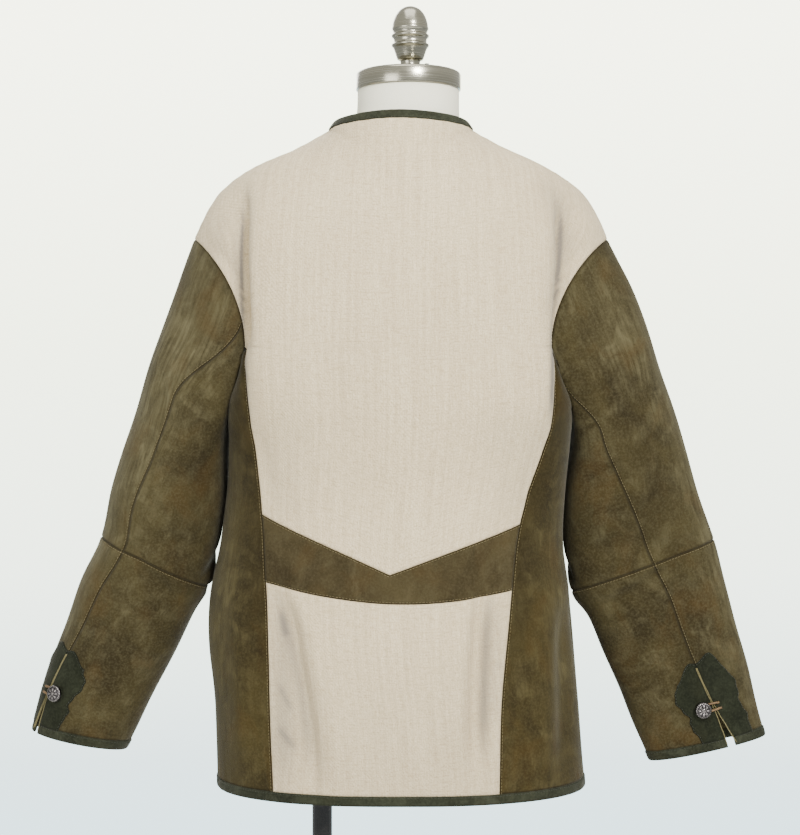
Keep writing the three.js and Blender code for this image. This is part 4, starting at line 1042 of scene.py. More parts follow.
def tape(name, stands_for, middle, normal, across, finish, width, out=BINDING_OUT,
         thick=BINDING_THICKNESS, ribs=0.0):
    """A binding folded over an edge: its section is a flattened loop carried along a path, with
    the path's outward normal and its direction across. The loop is a superellipse of the
    binding's width and thickness, so both of its faces swell a little; ribs cross it."""
    behind, outer = superellipse(circle(28), BINDING_ROUNDNESS)
    run = run_of(middle)
    swell = ribs * (np.sin(run * 1.45 + 1.5 * np.sin(run * 0.11)) + 0.6 * np.sin(run * 0.31 + 2))
    wide = behind * width / 2
    high = outer[None, :] * (thick / 2 + swell[:, None]) + out - thick / 2
    section = across[:, None, :] * wide[None, :, None] + normal[:, None, :] * high[..., None]
    points = (middle[:, None, :] + section).reshape(-1, 3)
    shape = (len(middle), len(wide))
    around = np.broadcast_to(wide[None, :], shape)
    uv = np.stack([np.broadcast_to(run[:, None], shape), around], -1).reshape(-1, 2) * MM
    seam = (width / 2 - around).ravel() + 0.6
    CLOTH[name] = dict(middle=middle, normal=normal, across=across, width=width, out=out)
    faces = facing_out(points, tube_faces(*shape))
    put(name, points, faces, finish, stands_for, uv, dict(seam=seam))


def directions(points):
    """Unit tangents of a path from the chords between neighbouring points."""
    return unit(np.gradient(points, axis=0))


def make_edge_binding(name):
    front = FRONTS[name]
    low, high = FRONT_ROWS
    t = np.concatenate([row_of(lerp(HEM_Z + 1, YOKE_Z, low)), high[1:]])
    middle, normal = front_place(front, t, front_share(t, (front["panel"] + front["edge"]) / 2))
    edge = front_place(front, t, front_share(t, front["edge"]))[0]
    tape(f"edge_binding_suede_{name}", f"edge_binding_{name}", middle, normal, unit(edge - middle),
         BOUND_SUEDE, BINDING_HEIGHT + EDGE_COVER)


for name in FRONTS:
    make_front(name)
    make_edge_binding(name)


def round_the_body(t):
    """A path round the whole body on the row t, from the closing front's edge by the right side,
    the back and the left side to the other edge."""
    start, end = edge_shares(t)
    first, third = np.linspace(start, -1, 66), np.linspace(1, end, 66)[1:]
    second = np.linspace(-1, 1, 132)[1:]
    return np.concatenate([
        front_place(FRONTS["right"], t, first)[0],
        body_point(BACK, t, second),
        front_place(FRONTS["left"], t, third)[0],
    ])


def make_hem():
    upper, lower = round_the_body(row_of(PANEL_Z)), round_the_body(row_of(HEM_Z))
    middle = (upper + lower) / 2
    normal = unit(np.cross(directions(middle), unit(upper - lower)))
    normal *= np.sign((normal * (middle - [0, 0, HEM_Z])).sum(-1, keepdims=True))
    tape("hem_binding_suede", "hem_binding", middle, normal, unit(lower - upper), BOUND_SUEDE,
         BINDING_HEIGHT + HEM_COVER, ribs=0.2)


def neck_normal(sign, s):
    """Outward direction along the neckline: it leans back or forward, and sideways at the sides."""
    angle = s / NECK_SHARE * RIGHT_ANGLE
    leaning, sideways = NECK_LEAN * np.cos(angle), SIDE_LEAN * np.sin(angle)
    return unit(np.stack([np.sin(sideways), sign * np.sin(leaning), np.full(s.shape, 0.8)], -1))


def make_neck_binding():
    """The neckline lifted by the closing front, with the binding standing up on it."""
    start, end = edge_shares(2.0)
    first, third = np.linspace(start, -NECK_SHARE, 40), np.linspace(NECK_SHARE, end, 40)[1:]
    second = np.linspace(-NECK_SHARE, NECK_SHARE, 90)[1:]
    runs = ((FRONT, first), (BACK, second), (FRONT, third))
    edge = np.concatenate([body_point(face, 2.0, s) for face, s in runs])
    normal = np.concatenate([neck_normal(face["sign"], s) for face, s in runs])
    closing = over_lift(FRONTS["right"], plain_body(FRONT, 2.0, first)[..., 0])
    edge += normal * np.concatenate([closing, np.zeros(len(second) + len(third))])[:, None]
    up = unit(np.cross(directions(edge), normal))
    up *= np.sign(up[:, [2]].sum())
    up = unit(up + [0, 0, NECK_BINDING_RISE])
    normal = unit(np.cross(up, directions(edge)))
    normal *= np.sign((normal * (edge - [0, -10, 0])).sum(-1, keepdims=True))
    middle = edge + up * (NECK_BINDING_HEIGHT / 2 - NECK_BINDING_DROP)
    tape("neck_binding_suede", "neck_binding", middle, normal, up, BOUND_SUEDE,
         NECK_BINDING_HEIGHT + EDGE_COVER, ribs=0.14)


make_hem()
make_neck_binding()


# The sleeves.

SLEEVES = {1: LEFT_SLEEVE, -1: RIGHT_SLEEVE}
VENT_SIDES = dict(top=-1, under=1)


def armhole_place(phi):
    """The armhole's edge at an angle from its top: 90 is behind, 180 below and 270 in front."""
    angle = np.mod(phi, 360)
    behind = angle <= 180
    from_top = np.where(behind, angle, 360 - angle)
    drop = (YOKE_Z - ARMPIT_Z) * np.sin(np.radians(np.maximum(from_top - 90, 0)))
    return behind, np.where(from_top <= 90, 2 - from_top / 90, row_of(YOKE_Z - drop))


def armhole(side, phi):
    behind, t = armhole_place(phi)
    s = np.full(np.shape(t), float(side))
    points = np.where(behind[..., None], plain_body(BACK, t, s), plain_body(FRONT, t, s))
    return points, np.where(behind[..., None], body_normal(BACK, t, s), body_normal(FRONT, t, s))


def sleeve_ring(side, v, phi):
    """A sleeve's section on its own: a superellipse between the section's outer and inner end."""
    row = along(SLEEVES[side], v)
    out_x, out_z, in_x, in_z, y, thick = (row[..., k] for k in range(6))
    behind, outer = superellipse(np.radians(phi), SLEEVE_ROUNDNESS)
    f = (1 + outer) / 2
    return np.stack([side * lerp(in_x, out_x, f), y + thick * behind, lerp(in_z, out_z, f)], -1)


def plain_sleeve(side, v, phi):
    """Its sections, drawn to the armhole's edge over the top part of the sleeve."""
    v, phi = np.broadcast_arrays(np.asarray(v, float), np.asarray(phi, float))
    ring = sleeve_ring(side, v, phi)
    fit = 1 - smooth(v, 0, FITTED_SHARE)
    edge, normal = armhole(side, phi)
    low = (1 - np.cos(np.radians(phi))) / 2
    ease = low * lerp(SLEEVE_SHIFT, SLEEVE_EASE, smooth(v, 0, 0.06))
    edge = edge + normal * ease[..., None]
    return ring + (edge - sleeve_ring(side, np.zeros_like(v), phi)) * fit[..., None]


def sleeve_fold(side, v, phi):
    """The sleeve's folds: bells across lines that run v in lengths and phi in degrees."""
    total = np.zeros(np.shape(v))
    for _, v0, phi0, v1, phi1, width, depth in SLEEVE_FOLDS[SLEEVE_FOLDS[:, 0] == side]:
        x, y = (v - v0) * SLEEVE_LENGTH, turned_from(phi, phi0)
        f, off = along_line(x, y, 0, 0, (v1 - v0) * SLEEVE_LENGTH, phi1 - phi0)
        ends = smooth(f, -0.2, 0.25) * (1 - smooth(f, 0.75, 1.2))
        total += depth * np.exp(-((off / width) ** 2)) * ends
    return total


def sleeve_normal(side, v, phi):
    """From the plain sleeve's slopes; at the armhole it leans to the section's own direction."""
    normal = side * surface_normal(lambda a, b: plain_sleeve(side, a, b), v, phi, 1e-3, 0.2, 0, 1)
    row = SLEEVES[side][0]
    x, z = row[1] - row[3], row[2] - row[4]
    outer, behind = np.cos(np.radians(phi)), np.sin(np.radians(phi))
    flat = math.hypot(x, z)
    round_ = np.stack([side * x * outer / flat, behind, z * outer / flat], -1)
    return unit(normal + round_ * (1.5 * (1 - smooth(v, 0, 0.1)))[..., None])


def sleeve_point(side, v, phi, lift=0.0):
    """The plain sleeve moved along its normal by its folds, a slow ripple and a lift."""
    v, phi = np.broadcast_arrays(np.asarray(v, float), np.asarray(phi, float))
    around = 55 * np.cos(np.radians(phi - 40)) + 35 * np.sin(np.radians(phi))
    uneven = 0.9 * ripple(v * SLEEVE_LENGTH, around, 3 + side)
    out = sleeve_fold(side, v, phi) + uneven * smooth(v, 0, 0.08) + lift
    return plain_sleeve(side, v, phi) + sleeve_normal(side, v, phi) * out[..., None]


def back_seam(side, v):
    return along(SLEEVES[side], v)[..., 6]


def front_seam(side, v):
    return lerp(234, back_seam(side, v) + 180, smooth(v, 0, 0.5))


def round_scale(side, v, phi):
    """Millimetres round the sleeve for one degree."""
    step = sleeve_point(side, v, phi + 0.5) - sleeve_point(side, v, phi - 0.5)
    return np.linalg.norm(step, axis=-1)


def vent_edge(side, v, which):
    """Angle of the vent's edge, of the top sleeve (-1) or of the under sleeve (1)."""
    seam = back_seam(side, v)
    return seam + which * along(VENT, v)[..., 0] / round_scale(side, v, seam)


def sleeve_grid(side, part, rows, columns):
    first, last = front_seam(side, rows), vent_edge(side, rows, VENT_SIDES[part])
    if part == "top":
        first = first - 360
    else:
        first, last = last, first
    phi = lerp(first[:, None], last[:, None], columns[None, :])
    v = np.broadcast_to(rows[:, None], phi.shape)
    return sleeve_point(side, v, phi), sleeve_normal(side, v, phi), v, phi


def sleeve_marks(side, v, phi):
    """Where the nap is raised, as painted sheen along the sleeve's outer half and edge, and where painted
    shade darkens it: soft bells over the sleeve.
    """
    def spot(angle, wide, place, long):
        return bell(turned_from(phi, angle), 0, wide) * bell(v, place, long)

    # The nap bells along the outer half and edge are painted sheen; the shade bells are painted shade.
    if side > 0:
        nap = 0.62 * spot(40, 42, 0.25, 0.35) + 0.3 * spot(66, 16, 0.22, 0.12) + 0.8 * spot(15, 26, 0.65, 0.3)
        return dict(nap=nap, shade=0.4 * spot(120, 16, 0.35, 0.2))
    edge = bell(turned_from(phi, 15), 0, 26) * smooth(v, 0.05, 0.2)
    return dict(nap=0.6 * edge + 0.3 * spot(50, 20, 0.12, 0.1), shade=0.3 * spot(70, 22, 0.4, 0.2))


def make_sleeve(name, side):
    for part, width in (("top", 230), ("under", 150)):
        for half, start, end in (("upper", 0, ELBOW), ("lower", ELBOW, CUFF_EDGE)):
            rows = lerp(start, end, spaced(SLEEVE_LENGTH * (end - start), 3.2))
            points, normals, v, phi = sleeve_grid(side, part, rows, spaced(width, 3))
            shell(f"sleeve_suede_{part}_{half}_{name}", f"sleeve_{part}_{half}_{name}", points, normals,
                  SLEEVE_SUEDE, marks=sleeve_marks(side, v, phi))


def make_cuff_binding(name, side):
    """Round the cuff from the vent's edge on the under sleeve to that on the top sleeve."""
    v = np.full(1, (CUFF_EDGE + 1) / 2)
    start, seam, end = vent_edge(side, v, 1)[0], front_seam(side, v)[0], vent_edge(side, v, -1)[0]
    phi = np.concatenate([np.linspace(start, seam, 50), np.linspace(seam - 360, end, 80)[1:]])
    low, high, middle = (sleeve_point(side, np.full(len(phi), w), phi) for w in (1.0, CUFF_EDGE, v[0]))
    normal = sleeve_normal(side, np.full(len(phi), v[0]), phi)
    tape(f"cuff_binding_suede_{name}", f"cuff_binding_{name}", middle, normal, unit(low - high),
         BOUND_SUEDE, BINDING_HEIGHT + CUFF_COVER)


def near_vent(side, which, distance, width, lift=0.0):
    """A place on a sleeve near its vent: mm from the cuff's end and mm from the vent's edge."""
    distance, width = np.broadcast_arrays(np.asarray(distance, float), np.asarray(width, float))
    v = 1 - distance / SLEEVE_LENGTH
    edge = vent_edge(side, v, which)
    phi = edge + which * width / round_scale(side, v, edge + which * 10)
    return sleeve_point(side, v, phi, lift), sleeve_normal(side, v, phi)


def make_patch(name, side, part, which):
    """A scalloped patch beside the vent: its width follows a table, its top edge a crown."""
    rows, columns = spaced(88, 2.2, NARROW_SEAM), spaced(30, 1.8, NARROW_SEAM)
    width = along(PATCH, lerp(BINDING_HEIGHT, PATCH_LENGTH, rows))[..., 0]
    wave = 0.8 * np.sin(rows * 37 + side + which) * smooth(rows, 0.06, 0.25)
    across = 0.15 + (width + wave - 0.15)[:, None] * columns[None, :]
    if part == "top":
        crown = 7 * np.sin(columns**1.7 * math.pi) - 8 * smooth(columns, 0.75, 1)
    else:
        crown = 3 * np.sin(columns * math.pi) - 16 * smooth(columns, 0.1, 1)
    distance = lerp(BINDING_HEIGHT + 0.3, PATCH_LENGTH + crown[None, :], rows[:, None])
    points, normals = near_vent(side, which, distance, across)
    node_name = f"cuff_patch_{part}_{name}"
    shell(f"{node_name}_suede", node_name, points, normals, GREEN_SUEDE,
          out=PATCH_OUT, wall=1.3, roll=0.6, roll_width=1.4, pucker=0.15)


for name, side in SIDES:
    make_sleeve(name, side)
    make_cuff_binding(name, side)
    for part, which in VENT_SIDES.items():
        make_patch(name, side, part, which)


# The stand's, the thread's and the trimmings' finishes.

def jersey_material():
    made, tree, shader = material("ivory jersey", roughness=0.85, sheen=0.1, specular=0.25)
    knit = noise(tree, stretched(tree, place_of(tree), (1, 1, 1.6)), 700, 2, 0.5)
    soil = noise(tree, place_of(tree), 9, 2, 0.5)
    colour = laid_over(tree, (0.9, 0.87, 0.67, 1), (0.96, 0.94, 0.76, 1), knit, 0.3, 0.7)
    colour = laid_over(tree, colour, (0.62, 0.56, 0.42, 1), soil, 0.4, 0.7, 0.1)
    dress(tree, shader, colour, knit, 0.0002)
    return made


def steel_material():
    """Brushed steel: fine level lines, as a lathe leaves them."""
    made, tree, shader = material("brushed steel", roughness=0.3, metallic=1.0)
    lines = noise(tree, stretched(tree, place_of(tree), (8, 8, 1500)), 1, 3, 0.6)
    colour = laid_over(tree, (0.25, 0.235, 0.18, 1), (0.42, 0.4, 0.32, 1), lines, 0.3, 0.7)
    dress(tree, shader, colour, lines, 0.00005, ramp(tree, lines, (0.3, 0.16), (0.7, 0.3)))
    return made


def paint_material():
    made, tree, shader = material("gloss black paint", roughness=0.12, specular=0.5, coat=0.15)
    dust = noise(tree, place_of(tree), 60, 3, 0.6)
    colour = laid_over(tree, (0.004, 0.004, 0.004, 1), (0.009, 0.008, 0.007, 1), dust, 0.45, 0.75)
    dress(tree, shader, colour, roughness=ramp(tree, dust, (0.4, 0.08), (0.8, 0.2)))
    return made


def antique_material():
    """Antique silver: dark in the hollows of its relief and bright on what stands out."""
    made, tree, shader = material("antique silver", roughness=0.35, metallic=1.0)
    worn = noise(tree, place_of(tree), 420, 3, 0.6)
    colour = mix(tree, mark_of(tree, "relief"), (0.04, 0.036, 0.038, 1), (0.27, 0.25, 0.235, 1))
    colour = laid_over(tree, colour, (0.03, 0.027, 0.028, 1), worn, 0.45, 0.66, 0.5)
    dress(tree, shader, colour, worn, 0.0002, ramp(tree, worn, (0.4, 0.2), (0.66, 0.5)))
    return made


def leather_material():
    made, tree, shader = material("tan leather", roughness=0.6, specular=0.4)
    grain = noise(tree, place_of(tree), 500, 3, 0.6)
    colour = laid_over(tree, (0.075, 0.04, 0.014, 1), (0.17, 0.1, 0.038, 1), grain, 0.35, 0.65)
    dress(tree, shader, colour, grain, 0.0003)
    return made


def thread_material(name, dark, pale):
    """Twisted thread: pale and dark strands, fine against the stitches."""
    made, tree, shader = material(name, roughness=0.7, sheen=0.1, specular=0.3)
    twist = noise(tree, stretched(tree, place_of(tree), (1, 1, 1), turn=(0.5, 0.4, 0.3)), 1600, 2, 0.5)
    dress(tree, shader, laid_over(tree, (*dark, 1), (*pale, 1), twist, 0.35, 0.65))
    return made


JERSEY, STEEL, PAINT = jersey_material(), steel_material(), paint_material()
ANTIQUE, LEATHER = antique_material(), leather_material()
GOLD_THREAD = thread_material("golden thread", (0.085, 0.066, 0.026), (0.16, 0.13, 0.058))
PALE_THREAD = thread_material("pale thread", (0.42, 0.34, 0.22), (0.62, 0.53, 0.37))
GREEN_THREAD = thread_material("green thread", (0.013, 0.015, 0.008), (0.026, 0.029, 0.016))


# Stitches.

STITCH = dict(length=2.5, pitch=3.4, radius=0.26, arch=0.22)
SEAM_STITCH_IN = 2.0
PALE_FROM = 0.42
ON_BINDING = -0.72


def edge_line(name, edge, distance=SEAM_STITCH_IN, first=0.0):
    """A line on a piece's outer skin that keeps a distance in millimetres from one edge (l, r,
    b or t), with the skin's normals; it begins at a share of its places."""
    points, normals = CLOTH[name]["outer"], CLOTH[name]["normal"]
    if edge in "bt":
        points, normals = points.swapaxes(0, 1), normals.swapaxes(0, 1)
    if edge in "rt":
        points, normals = points[:, ::-1], normals[:, ::-1]
    run = lengths(points, 1)
    row = np.arange(len(run))
    k = np.clip((run < distance).sum(axis=1) - 1, 0, run.shape[1] - 2)
    f = ((distance - run[row, k]) / (run[row, k + 1] - run[row, k]))[:, None]
    line = lerp(points[row, k], points[row, k + 1], f)
    normal = unit(lerp(normals[row, k], normals[row, k + 1], f))
    start = int(first * (len(row) - 1))
    return line[start:], normal[start:]


def tape_line(name, share=ON_BINDING):
    """A line along a binding's face, at a share of its half width."""
    binding = CLOTH[name]
    swell = (1 - abs(share) ** BINDING_ROUNDNESS) ** (1 / BINDING_ROUNDNESS)
    out = binding["out"] + (swell - 1) * BINDING_THICKNESS / 2
    beside = binding["across"] * share * binding["width"] / 2
    return binding["middle"] + beside + binding["normal"] * out, binding["normal"]


def interpolated(values, run, places):
    return np.stack([np.interp(places, run, values[:, k]) for k in range(3)], -1)


def make_stitches(name, thread, *lines):
    """Short lengths of thread along lines on the cloth: each is a capsule whose middle arches a
    little out of the cloth, h = h0 (1 - 4 f²) with f from -1/2 to 1/2 along it."""
    middles, ways, outs = [], [], []
    for points, normals in lines:
        run = run_of(points)
        count = int(run[-1] / STITCH["pitch"])
        places = (np.arange(count) + 0.5) * run[-1] / count
        middles.append(interpolated(points, run, places))
        ways.append(interpolated(points, run, places + 0.6) - interpolated(points, run, places - 0.6))
        outs.append(interpolated(normals, run, places))
    middle, way, out = np.concatenate(middles), unit(np.concatenate(ways)), np.concatenate(outs)
    side = unit(np.cross(out, way))
    out = np.cross(way, side)
    f = np.array([-0.5, -0.43, -0.2, 0.2, 0.43, 0.5])
    wide = np.array([0.35, 0.85, 1, 1, 0.85, 0.35]) * STITCH["radius"]
    arch = (STITCH["arch"] * (1 - 4 * f * f) - 0.02)[None, :, None, None] * out[:, None, None, :]
    ring = round_line(side, out, 6)[:, None] * wide[None, :, None, None]
    length = (f * STITCH["length"])[None, :, None, None] * way[:, None, None, :]
    points = middle[:, None, None, :] + length + ring + arch
    faces = facing_out(points[0].reshape(-1, 3), tube_faces(6, 6))
    faces = (faces[None] + (np.arange(len(middle)) * 36)[:, None, None]).reshape(-1, 4)
    put(name, points.reshape(-1, 3), faces, thread)


def make_all_stitches():
    gold = []
    trim = [tape_line("hem_binding_suede"), tape_line("neck_binding_suede")]
    for name, _ in SIDES:
        gold += [edge_line(f"side_suede_{name}", edge) for edge in "lr"]
        for half, edges in (("upper", "r"), ("lower", "rb")):
            parts = [f"sleeve_suede_{part}_{half}_{name}" for part in VENT_SIDES]
            gold += [edge_line(part, edge) for edge in edges for part in parts]
        trim += [tape_line(f"edge_binding_suede_{name}"), tape_line(f"cuff_binding_suede_{name}")]
        patches = [f"cuff_patch_{part}_{name}_suede" for part in VENT_SIDES]
        trim += [edge_line(patch, edge, 1.3) for patch in patches for edge in "rt"]
    gold += [edge_line("belt_suede", edge) for edge in "bt"]
    make_stitches("golden_stitches", GOLD_THREAD, *gold)
    pale = [edge_line("back_upper_twill", edge, 1.8, PALE_FROM) for edge in "lr"]
    make_stitches("pale_stitches", PALE_THREAD, *pale)
    make_stitches("green_stitches", GREEN_THREAD, *trim)


# The vents' raw edges, the loops, the flaps and the buttons.

def make_raw_edges(name, side):
    for part, which in VENT_SIDES.items():
        distance = np.linspace(94, 3, 40)
        middle, normal = near_vent(side, which, distance, 0.35 + 0.15 * np.sin(distance * 0.3), 1.0)
        beside = unit(near_vent(side, which, distance, 3.0, 1.0)[0] - middle)
        piece_name = f"raw_edge_{part}_{name}"
        tape(piece_name, None, middle, normal, beside, RAW_EDGE, 1.1, out=0.85, thick=2.2)
        del CLOTH[piece_name]


def make_tube(name, stands_for, path, radius, finish):
    """A round cord along a smooth path, with rings square to the path."""
    run = run_of(path)
    middle = along(np.column_stack([run, path]), np.linspace(0, run[-1], 80))
    way = directions(middle)
    side = unit(np.cross(way, [0.3, 1.0, 0.2]))
    ring = round_line(side, np.cross(side, way), 12)
    points = (middle[:, None, :] + ring * radius).reshape(-1, 3)
    put(name, points, facing_out(points, tube_faces(len(middle), 12)), finish, stands_for)


def make_loop(name, side):
    """The leather loop: from the top sleeve's patch, round the button's shank and back."""
    lift = ON_PATCH + LOOP_RADIUS
    around = SHANK_SHARE * BUTTON_RADIUS + 0.4 + LOOP_RADIUS
    turn = np.linspace(-1, 1, 9) * RIGHT_ANGLE
    up = np.concatenate([[-around], around * np.sin(turn), [around]])
    width = np.concatenate([[3], CUFF_BUTTON_IN + around * np.cos(turn), [3]])
    bend = near_vent(side, 1, CUFF_BUTTON_UP + up, width, lift)[0]
    ends = near_vent(side, -1, CUFF_BUTTON_UP + np.array([-0.8, 0.8]) * around, 6, lift)[0]
    path = np.concatenate([ends[:1], bend, ends[1:]])
    make_tube(f"loop_leather_{name}", f"cuff_loop_{name}", path, LOOP_RADIUS, LEATHER)


def relief_of(r, angle):
    """The button's relief from 0 to 1: a boss, eight petals round it and a beaded rim."""
    boss = 1 - smooth(r, 0.16, 0.24)
    petals = smooth(np.cos(angle * 8), -0.35, 0.35) * smooth(r, 0.26, 0.34) * (1 - smooth(r, 0.6, 0.7))
    beads = smooth(np.cos(angle * 24), -0.5, 0.4) * smooth(r, 0.76, 0.82) * (1 - smooth(r, 0.93, 0.98))
    return np.maximum(np.maximum(boss, petals), beads)


def make_button(name, place, normal):
    """A domed button on a shank: its dome is a flat arch with a relief 0.5 mm high."""
    shank = [[0.02, 0], [SHANK_SHARE, 0], [SHANK_SHARE, 0.36], [0.6, 0.36], [0.92, 0.37], [0.98, 0.4],
             [1, 0.45], [0.985, 0.5]]
    dome = [[math.sin(a), 0.52 + 0.42 * math.cos(a) ** 0.9] for a in np.linspace(1.4, 0.02, 34)]
    profile = np.array(shank + dome)
    r = np.broadcast_to(profile[:, :1], (len(profile), 96))
    on_dome = (np.arange(len(profile)) >= len(shank))[:, None]
    relief = relief_of(r, circle(96)[None, :]) * on_dome
    high = profile[:, 1:] * BUTTON_RADIUS + 0.5 * relief
    side = unit(np.cross(normal, [0.0, 0.0, 1.0]))
    ring = round_line(side, np.cross(normal, side), 96)
    points = (place + ring * r[..., None] * BUTTON_RADIUS + high[..., None] * normal).reshape(-1, 3)
    faces = facing_out(points, tube_faces(len(profile), 96))
    put(f"{name}_metal", points, faces, ANTIQUE, name, attributes=dict(relief=relief))


BUTTON_ROWS = (0.1, 0.4, 0.7, 1, 1.66)
FLAP = dict(outer_x=152, inner_x=84, outer_z=1000, inner_z=952, height=36, lift=6, shift=4)


def make_front_buttons():
    t = np.array(BUTTON_ROWS, float)
    s = front_share(t, (OVERLAP_X + UNDER_X) / 2)
    places = zip(*front_place(FRONTS["right"], t, s, FRONT_BUTTON_LIFT))
    for number, (place, normal) in enumerate(places, 1):
        make_button(f"front_button_{number}", place, normal)


def make_flap(name, side):
    """A slanted pocket flap: its lower edge stands away from the front towards the side."""
    f, g = (spaced(length, 2.5, (0, 0.5, 1.2, 2.4)) for length in (84, FLAP["height"]))
    x = side * lerp(FLAP["outer_x"], FLAP["inner_x"], f) + (FLAP["shift"] if side < 0 else 0)
    z = lerp(FLAP["outer_z"], FLAP["inner_z"], f)[None, :] + g[:, None] * FLAP["height"]
    free = FLAP["lift"] * (1 - g)[:, None] * (1 - smooth(f, 0, 0.5))[None, :]
    s = share_at(FRONT, row_of(z), np.broadcast_to(x[None, :], z.shape))
    points, normals = body_point(FRONT, row_of(z), s, 1.5 + free), body_normal(FRONT, row_of(z), s)
    shell(f"flap_suede_{name}", f"pocket_flap_{name}", points, normals, GREEN_SUEDE,
          out=1.4, wall=1.6, roll=0.8, roll_width=1.6, pucker=0.15)


for name, side in SIDES:
    make_raw_edges(name, side)
    make_loop(name, side)
    make_flap(name, side)
    make_button(f"cuff_button_{name}", *near_vent(side, 1, CUFF_BUTTON_UP, CUFF_BUTTON_IN, ON_PATCH))
make_front_buttons()
make_all_stitches()


# The form and its stand.

def form_ring(t):
    """A closed ring round the form on the row t, with a place on the neckline's corner."""
    falling = np.concatenate([np.linspace(1, NECK_SHARE, 30), np.linspace(NECK_SHARE, 0, 30)[1:]])
    s = np.concatenate([falling, -falling[-2::-1]])
    behind, ahead = (plain_body(face, np.full(len(s), t), s) for face in (FORM_BACK, FORM_FRONT))
    return np.concatenate([behind, ahead[-2:0:-1]])


def neck_ring(rise):
    """A ring of the neck: the neckline drawn to a circle, its places drawn in by 1 - (1 - f)³
    while they climb by f to the power 1.3."""
    s = np.linspace(NECK_SHARE, 0, 30)[:-1]
    s = np.concatenate([s, [0], -s[::-1]])
    behind, ahead = (plain_body(face, np.full(len(s), 2.0), s) for face in (FORM_BACK, FORM_FRONT))
    edge = np.concatenate([behind, ahead[-2:0:-1]])
    angle = np.concatenate([s, s[-2:0:-1]]) / NECK_SHARE * RIGHT_ANGLE
    sign = np.where(np.arange(len(angle)) < len(s), 1, -1)
    ring = np.stack([
        FORM_NECK["x"] + FORM_NECK["radius"] * np.sin(angle),
        FORM_NECK["y"] + sign * FORM_NECK["radius"] * np.cos(angle),
        np.full(len(angle), float(FORM_NECK["z"])),
    ], -1)
    drawn_in = 1 - (1 - rise) ** 3
    return lerp(edge, ring, np.array([drawn_in, drawn_in, rise**1.3]))


def merge(piece, distance=1e-5):
    """Makes one of the places that lie on each other."""
    mesh = bmesh.new()
    mesh.from_mesh(piece.data)
    bmesh.ops.remove_doubles(mesh, verts=mesh.verts, dist=distance)
    mesh.to_mesh(piece.data)
    mesh.free()


def make_form():
    """The form's body and its neck, each open where they meet, joined there place by place."""
    body = [form_ring(t) for t in np.linspace(0, 2, 61)]
    neck = [neck_ring(rise) for rise in np.linspace(0, 1, 31)]
    body_faces = tube_faces(len(body), len(body[0]), last=False)
    neck_faces = tube_faces(len(neck), len(neck[0]), first=False) + len(body) * len(body[0])
    points, faces = np.concatenate(body + neck), np.concatenate([body_faces, neck_faces])
    merge(put("dress_form", points, facing_out(points, faces), JERSEY, "form"))


def turned(name, stands_for, profile, place, segments=72):
    """A turned part of steel: a profile of radius and height about a vertical line."""
    rows = np.array(profile, float)
    ring = round_line([1, 0, 0], [0, 1, 0], segments)
    points = ring[None] * rows[:, :1, None] + np.array([0, 0, 1]) * rows[:, 1:, None] + np.array(place)
    points = points.reshape(-1, 3)
    put(name, points, facing_out(points, tube_faces(len(rows), segments)), STEEL, stands_for)


def rounded(profile, count):
    """A profile's corners joined by cubics, read at even lengths along it."""
    run = run_of(profile)
    return along(np.column_stack([run, profile]), np.linspace(0, run[-1], count))


# The finial's profile, radius and height: a foot, two beads and an egg.
FINIAL = np.array([
    [12, 0.5], [11, 3], [11, 11], [14, 13], [17, 21], [18.6, 25], [20.3, 27.2], [20.4, 28.6],
    [18.2, 30.4], [18.3, 34.5], [20.3, 37], [20.4, 38.6], [18.4, 40.4], [18.9, 43], [20, 45.2],
    [19.6, 47.5], [18.6, 53], [15.8, 60], [11.5, 65.4], [6, 68.7], [0.3, 69.5],
])
FINIAL_HEIGHT = 71
FINIAL_SHIFT = -2
CAP_RADIUS = 57
# The cap's profile: its distance in from the radius and its height below the top.
CAP_SHOULDER = ((0, 4), (0.8, 2.2), (3, 0.8), (7, 0.2), (10, 0))


def make_stand_top():
    x, y, z = FORM_NECK["x"], FORM_NECK["y"], FORM_NECK["z"] + REST_GAP
    foot = [[0.3, 0], [CAP_RADIUS - 1, 0], [CAP_RADIUS - 0.3, 0.3], [CAP_RADIUS, 1.2]]
    top = [[CAP_RADIUS - inside, CAP_HEIGHT - below] for inside, below in CAP_SHOULDER]
    turned("cap_steel", "neck_cap", foot + top + [[0.3, CAP_HEIGHT]], (x, y, z), 128)
    profile = np.concatenate([[[0.3, 0], [11.9, 0]], rounded(FINIAL, 150)])
    profile[:, 1] *= FINIAL_HEIGHT / FINIAL[-1, 1]
    turned("finial_steel", "finial", profile, (x + FINIAL_SHIFT, y, z + CAP_HEIGHT + REST_GAP))


def finish_node(name, made):
    """A carried-over node takes a finish."""
    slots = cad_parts[name].data.materials
    slots.clear()
    slots.append(made)


make_form()
make_stand_top()
for name in ("base", "pole", "pole_socket", "thumb_screw"):
    finish_node(name, PAINT)


# The studio.

FLOOR_GAP = 0.0002
CAMERA_PLACE = (-0.0015, 2.0, 1.076)
CAMERA_LENS = 79.84


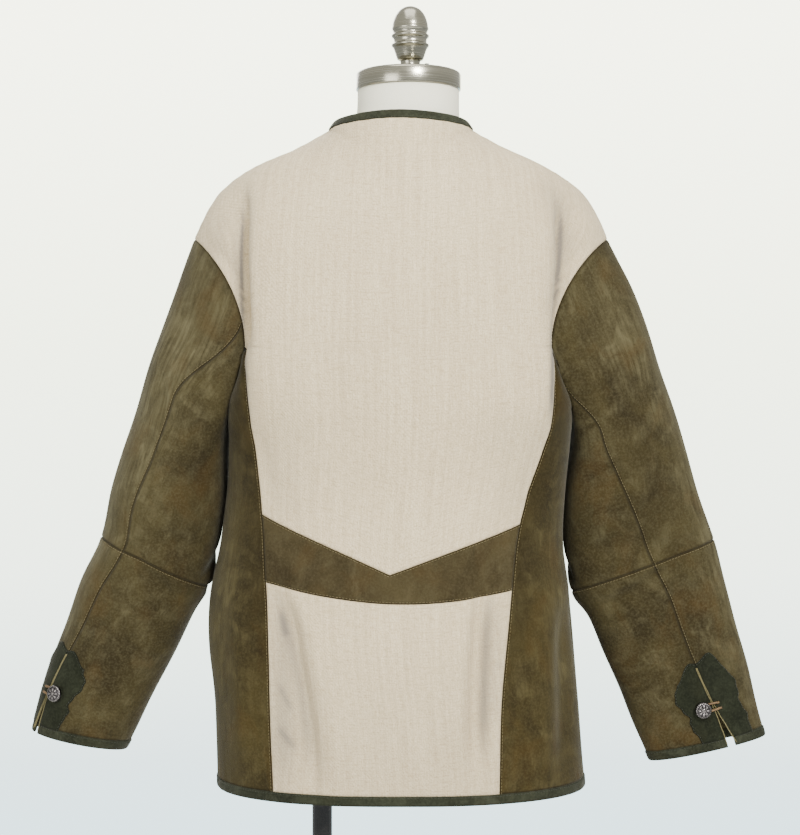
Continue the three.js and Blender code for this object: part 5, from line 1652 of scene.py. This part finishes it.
def make_floor():
    """A round pale floor, a disc of rings that ends before the camera's view begins."""
    radii = np.array([0.002, 0.6, 1.2, 1.8, 2.4])
    ring = round_line([1, 0, 0], [0, 1, 0], 96)
    points = (ring[None] * radii[:, None, None]).reshape(-1, 3) - [0, 0, FLOOR_GAP]
    index = np.arange(len(radii) * 96).reshape(-1, 96)
    after = np.roll(index, -1, axis=1)
    faces = np.stack([index[:-1], index[1:], after[1:], after[:-1]], -1).reshape(-1, 4)
    mesh = bpy.data.meshes.new("floor")
    mesh.from_pydata(points, [], faces.tolist() + [index[0].tolist()])
    mesh.update()
    floor = bpy.data.objects.new("floor", mesh)
    bpy.context.scene.collection.objects.link(floor)
    made, tree, shader = material("pale floor", roughness=0.8)
    grain = noise(tree, place_of(tree), 40, 3, 0.5)
    colour = mix(tree, ramp(tree, grain, (0.3, 0), (0.7, 1)), (0.78, 0.79, 0.79, 1), (0.83, 0.84, 0.84, 1))
    tree.links.new(colour, shader.inputs["Base Color"])
    mesh.materials.append(made)


def make_light(name, place, target, size, power):
    data = bpy.data.lights.new(name, "AREA")
    data.shape = "RECTANGLE"
    data.size, data.size_y = size
    data.energy = power
    light = bpy.data.objects.new(name, data)
    bpy.context.scene.collection.objects.link(light)
    light.location = place
    light.rotation_euler = (Vector(target) - Vector(place)).to_track_quat("-Z", "Y").to_euler()


def make_world():
    """A pale studio: behind the jacket it is bright, warm white above and bluish white below,
    and all round it is dimmer."""
    world = bpy.data.worlds.new("studio")
    world.use_nodes = True
    tree = world.node_tree
    back = tree.nodes["Background"]
    split = tree.nodes.new("ShaderNodeSeparateXYZ")
    tree.links.new(tree.nodes.new("ShaderNodeTexCoord").outputs["Generated"], split.inputs[0])
    height = maths(tree, "ADD", maths(tree, "MULTIPLY", split.outputs["Z"], 0.5), 0.5)
    wall = ramp(tree, height, (0.385, (0.33, 0.45, 0.49, 1)), (0.41, (0.38, 0.47, 0.48, 1)),
                (0.46, (0.62, 0.69, 0.60, 1)), (0.52, (0.75, 0.80, 0.63, 1)), (0.6, (0.97, 1.0, 0.78, 1)))
    room = ramp(tree, height, (0.3, (0.1, 0.106, 0.11, 1)), (0.7, (0.15, 0.15, 0.142, 1)))
    turn = maths(tree, "ADD", maths(tree, "MULTIPLY", split.outputs["Y"], -0.5), 0.5)
    colour = mix(tree, ramp(tree, turn, (0.94, 0), (0.972, 1)), room, wall)
    tree.links.new(colour, back.inputs["Color"])
    back.inputs["Strength"].default_value = 6.0
    bpy.context.scene.world = world


def make_camera():
    data = bpy.data.cameras.new("camera")
    data.sensor_width = 36
    data.lens = CAMERA_LENS
    data.clip_end = 50
    camera = bpy.data.objects.new("camera", data)
    bpy.context.scene.collection.objects.link(camera)
    camera.location = CAMERA_PLACE
    camera.rotation_euler = (RIGHT_ANGLE, 0, math.pi)
    bpy.context.scene.camera = camera


make_floor()
make_world()
make_light("key", (-0.95, 2.45, 2.45), (0, 0, 1.2), (0.6, 0.5), 128)
make_light("fill", (1.7, 2.3, 1.3), (0, 0, 1.0), (1.4, 1.4), 36)
make_light("front_fill", (0.6, -2.6, 2.2), (0, 0, 1.0), (2.0, 2.0), 60)
make_light("top", (0, 0.5, 3.2), (0, 0, 1.0), (1.6, 1.6), 30)
make_camera()
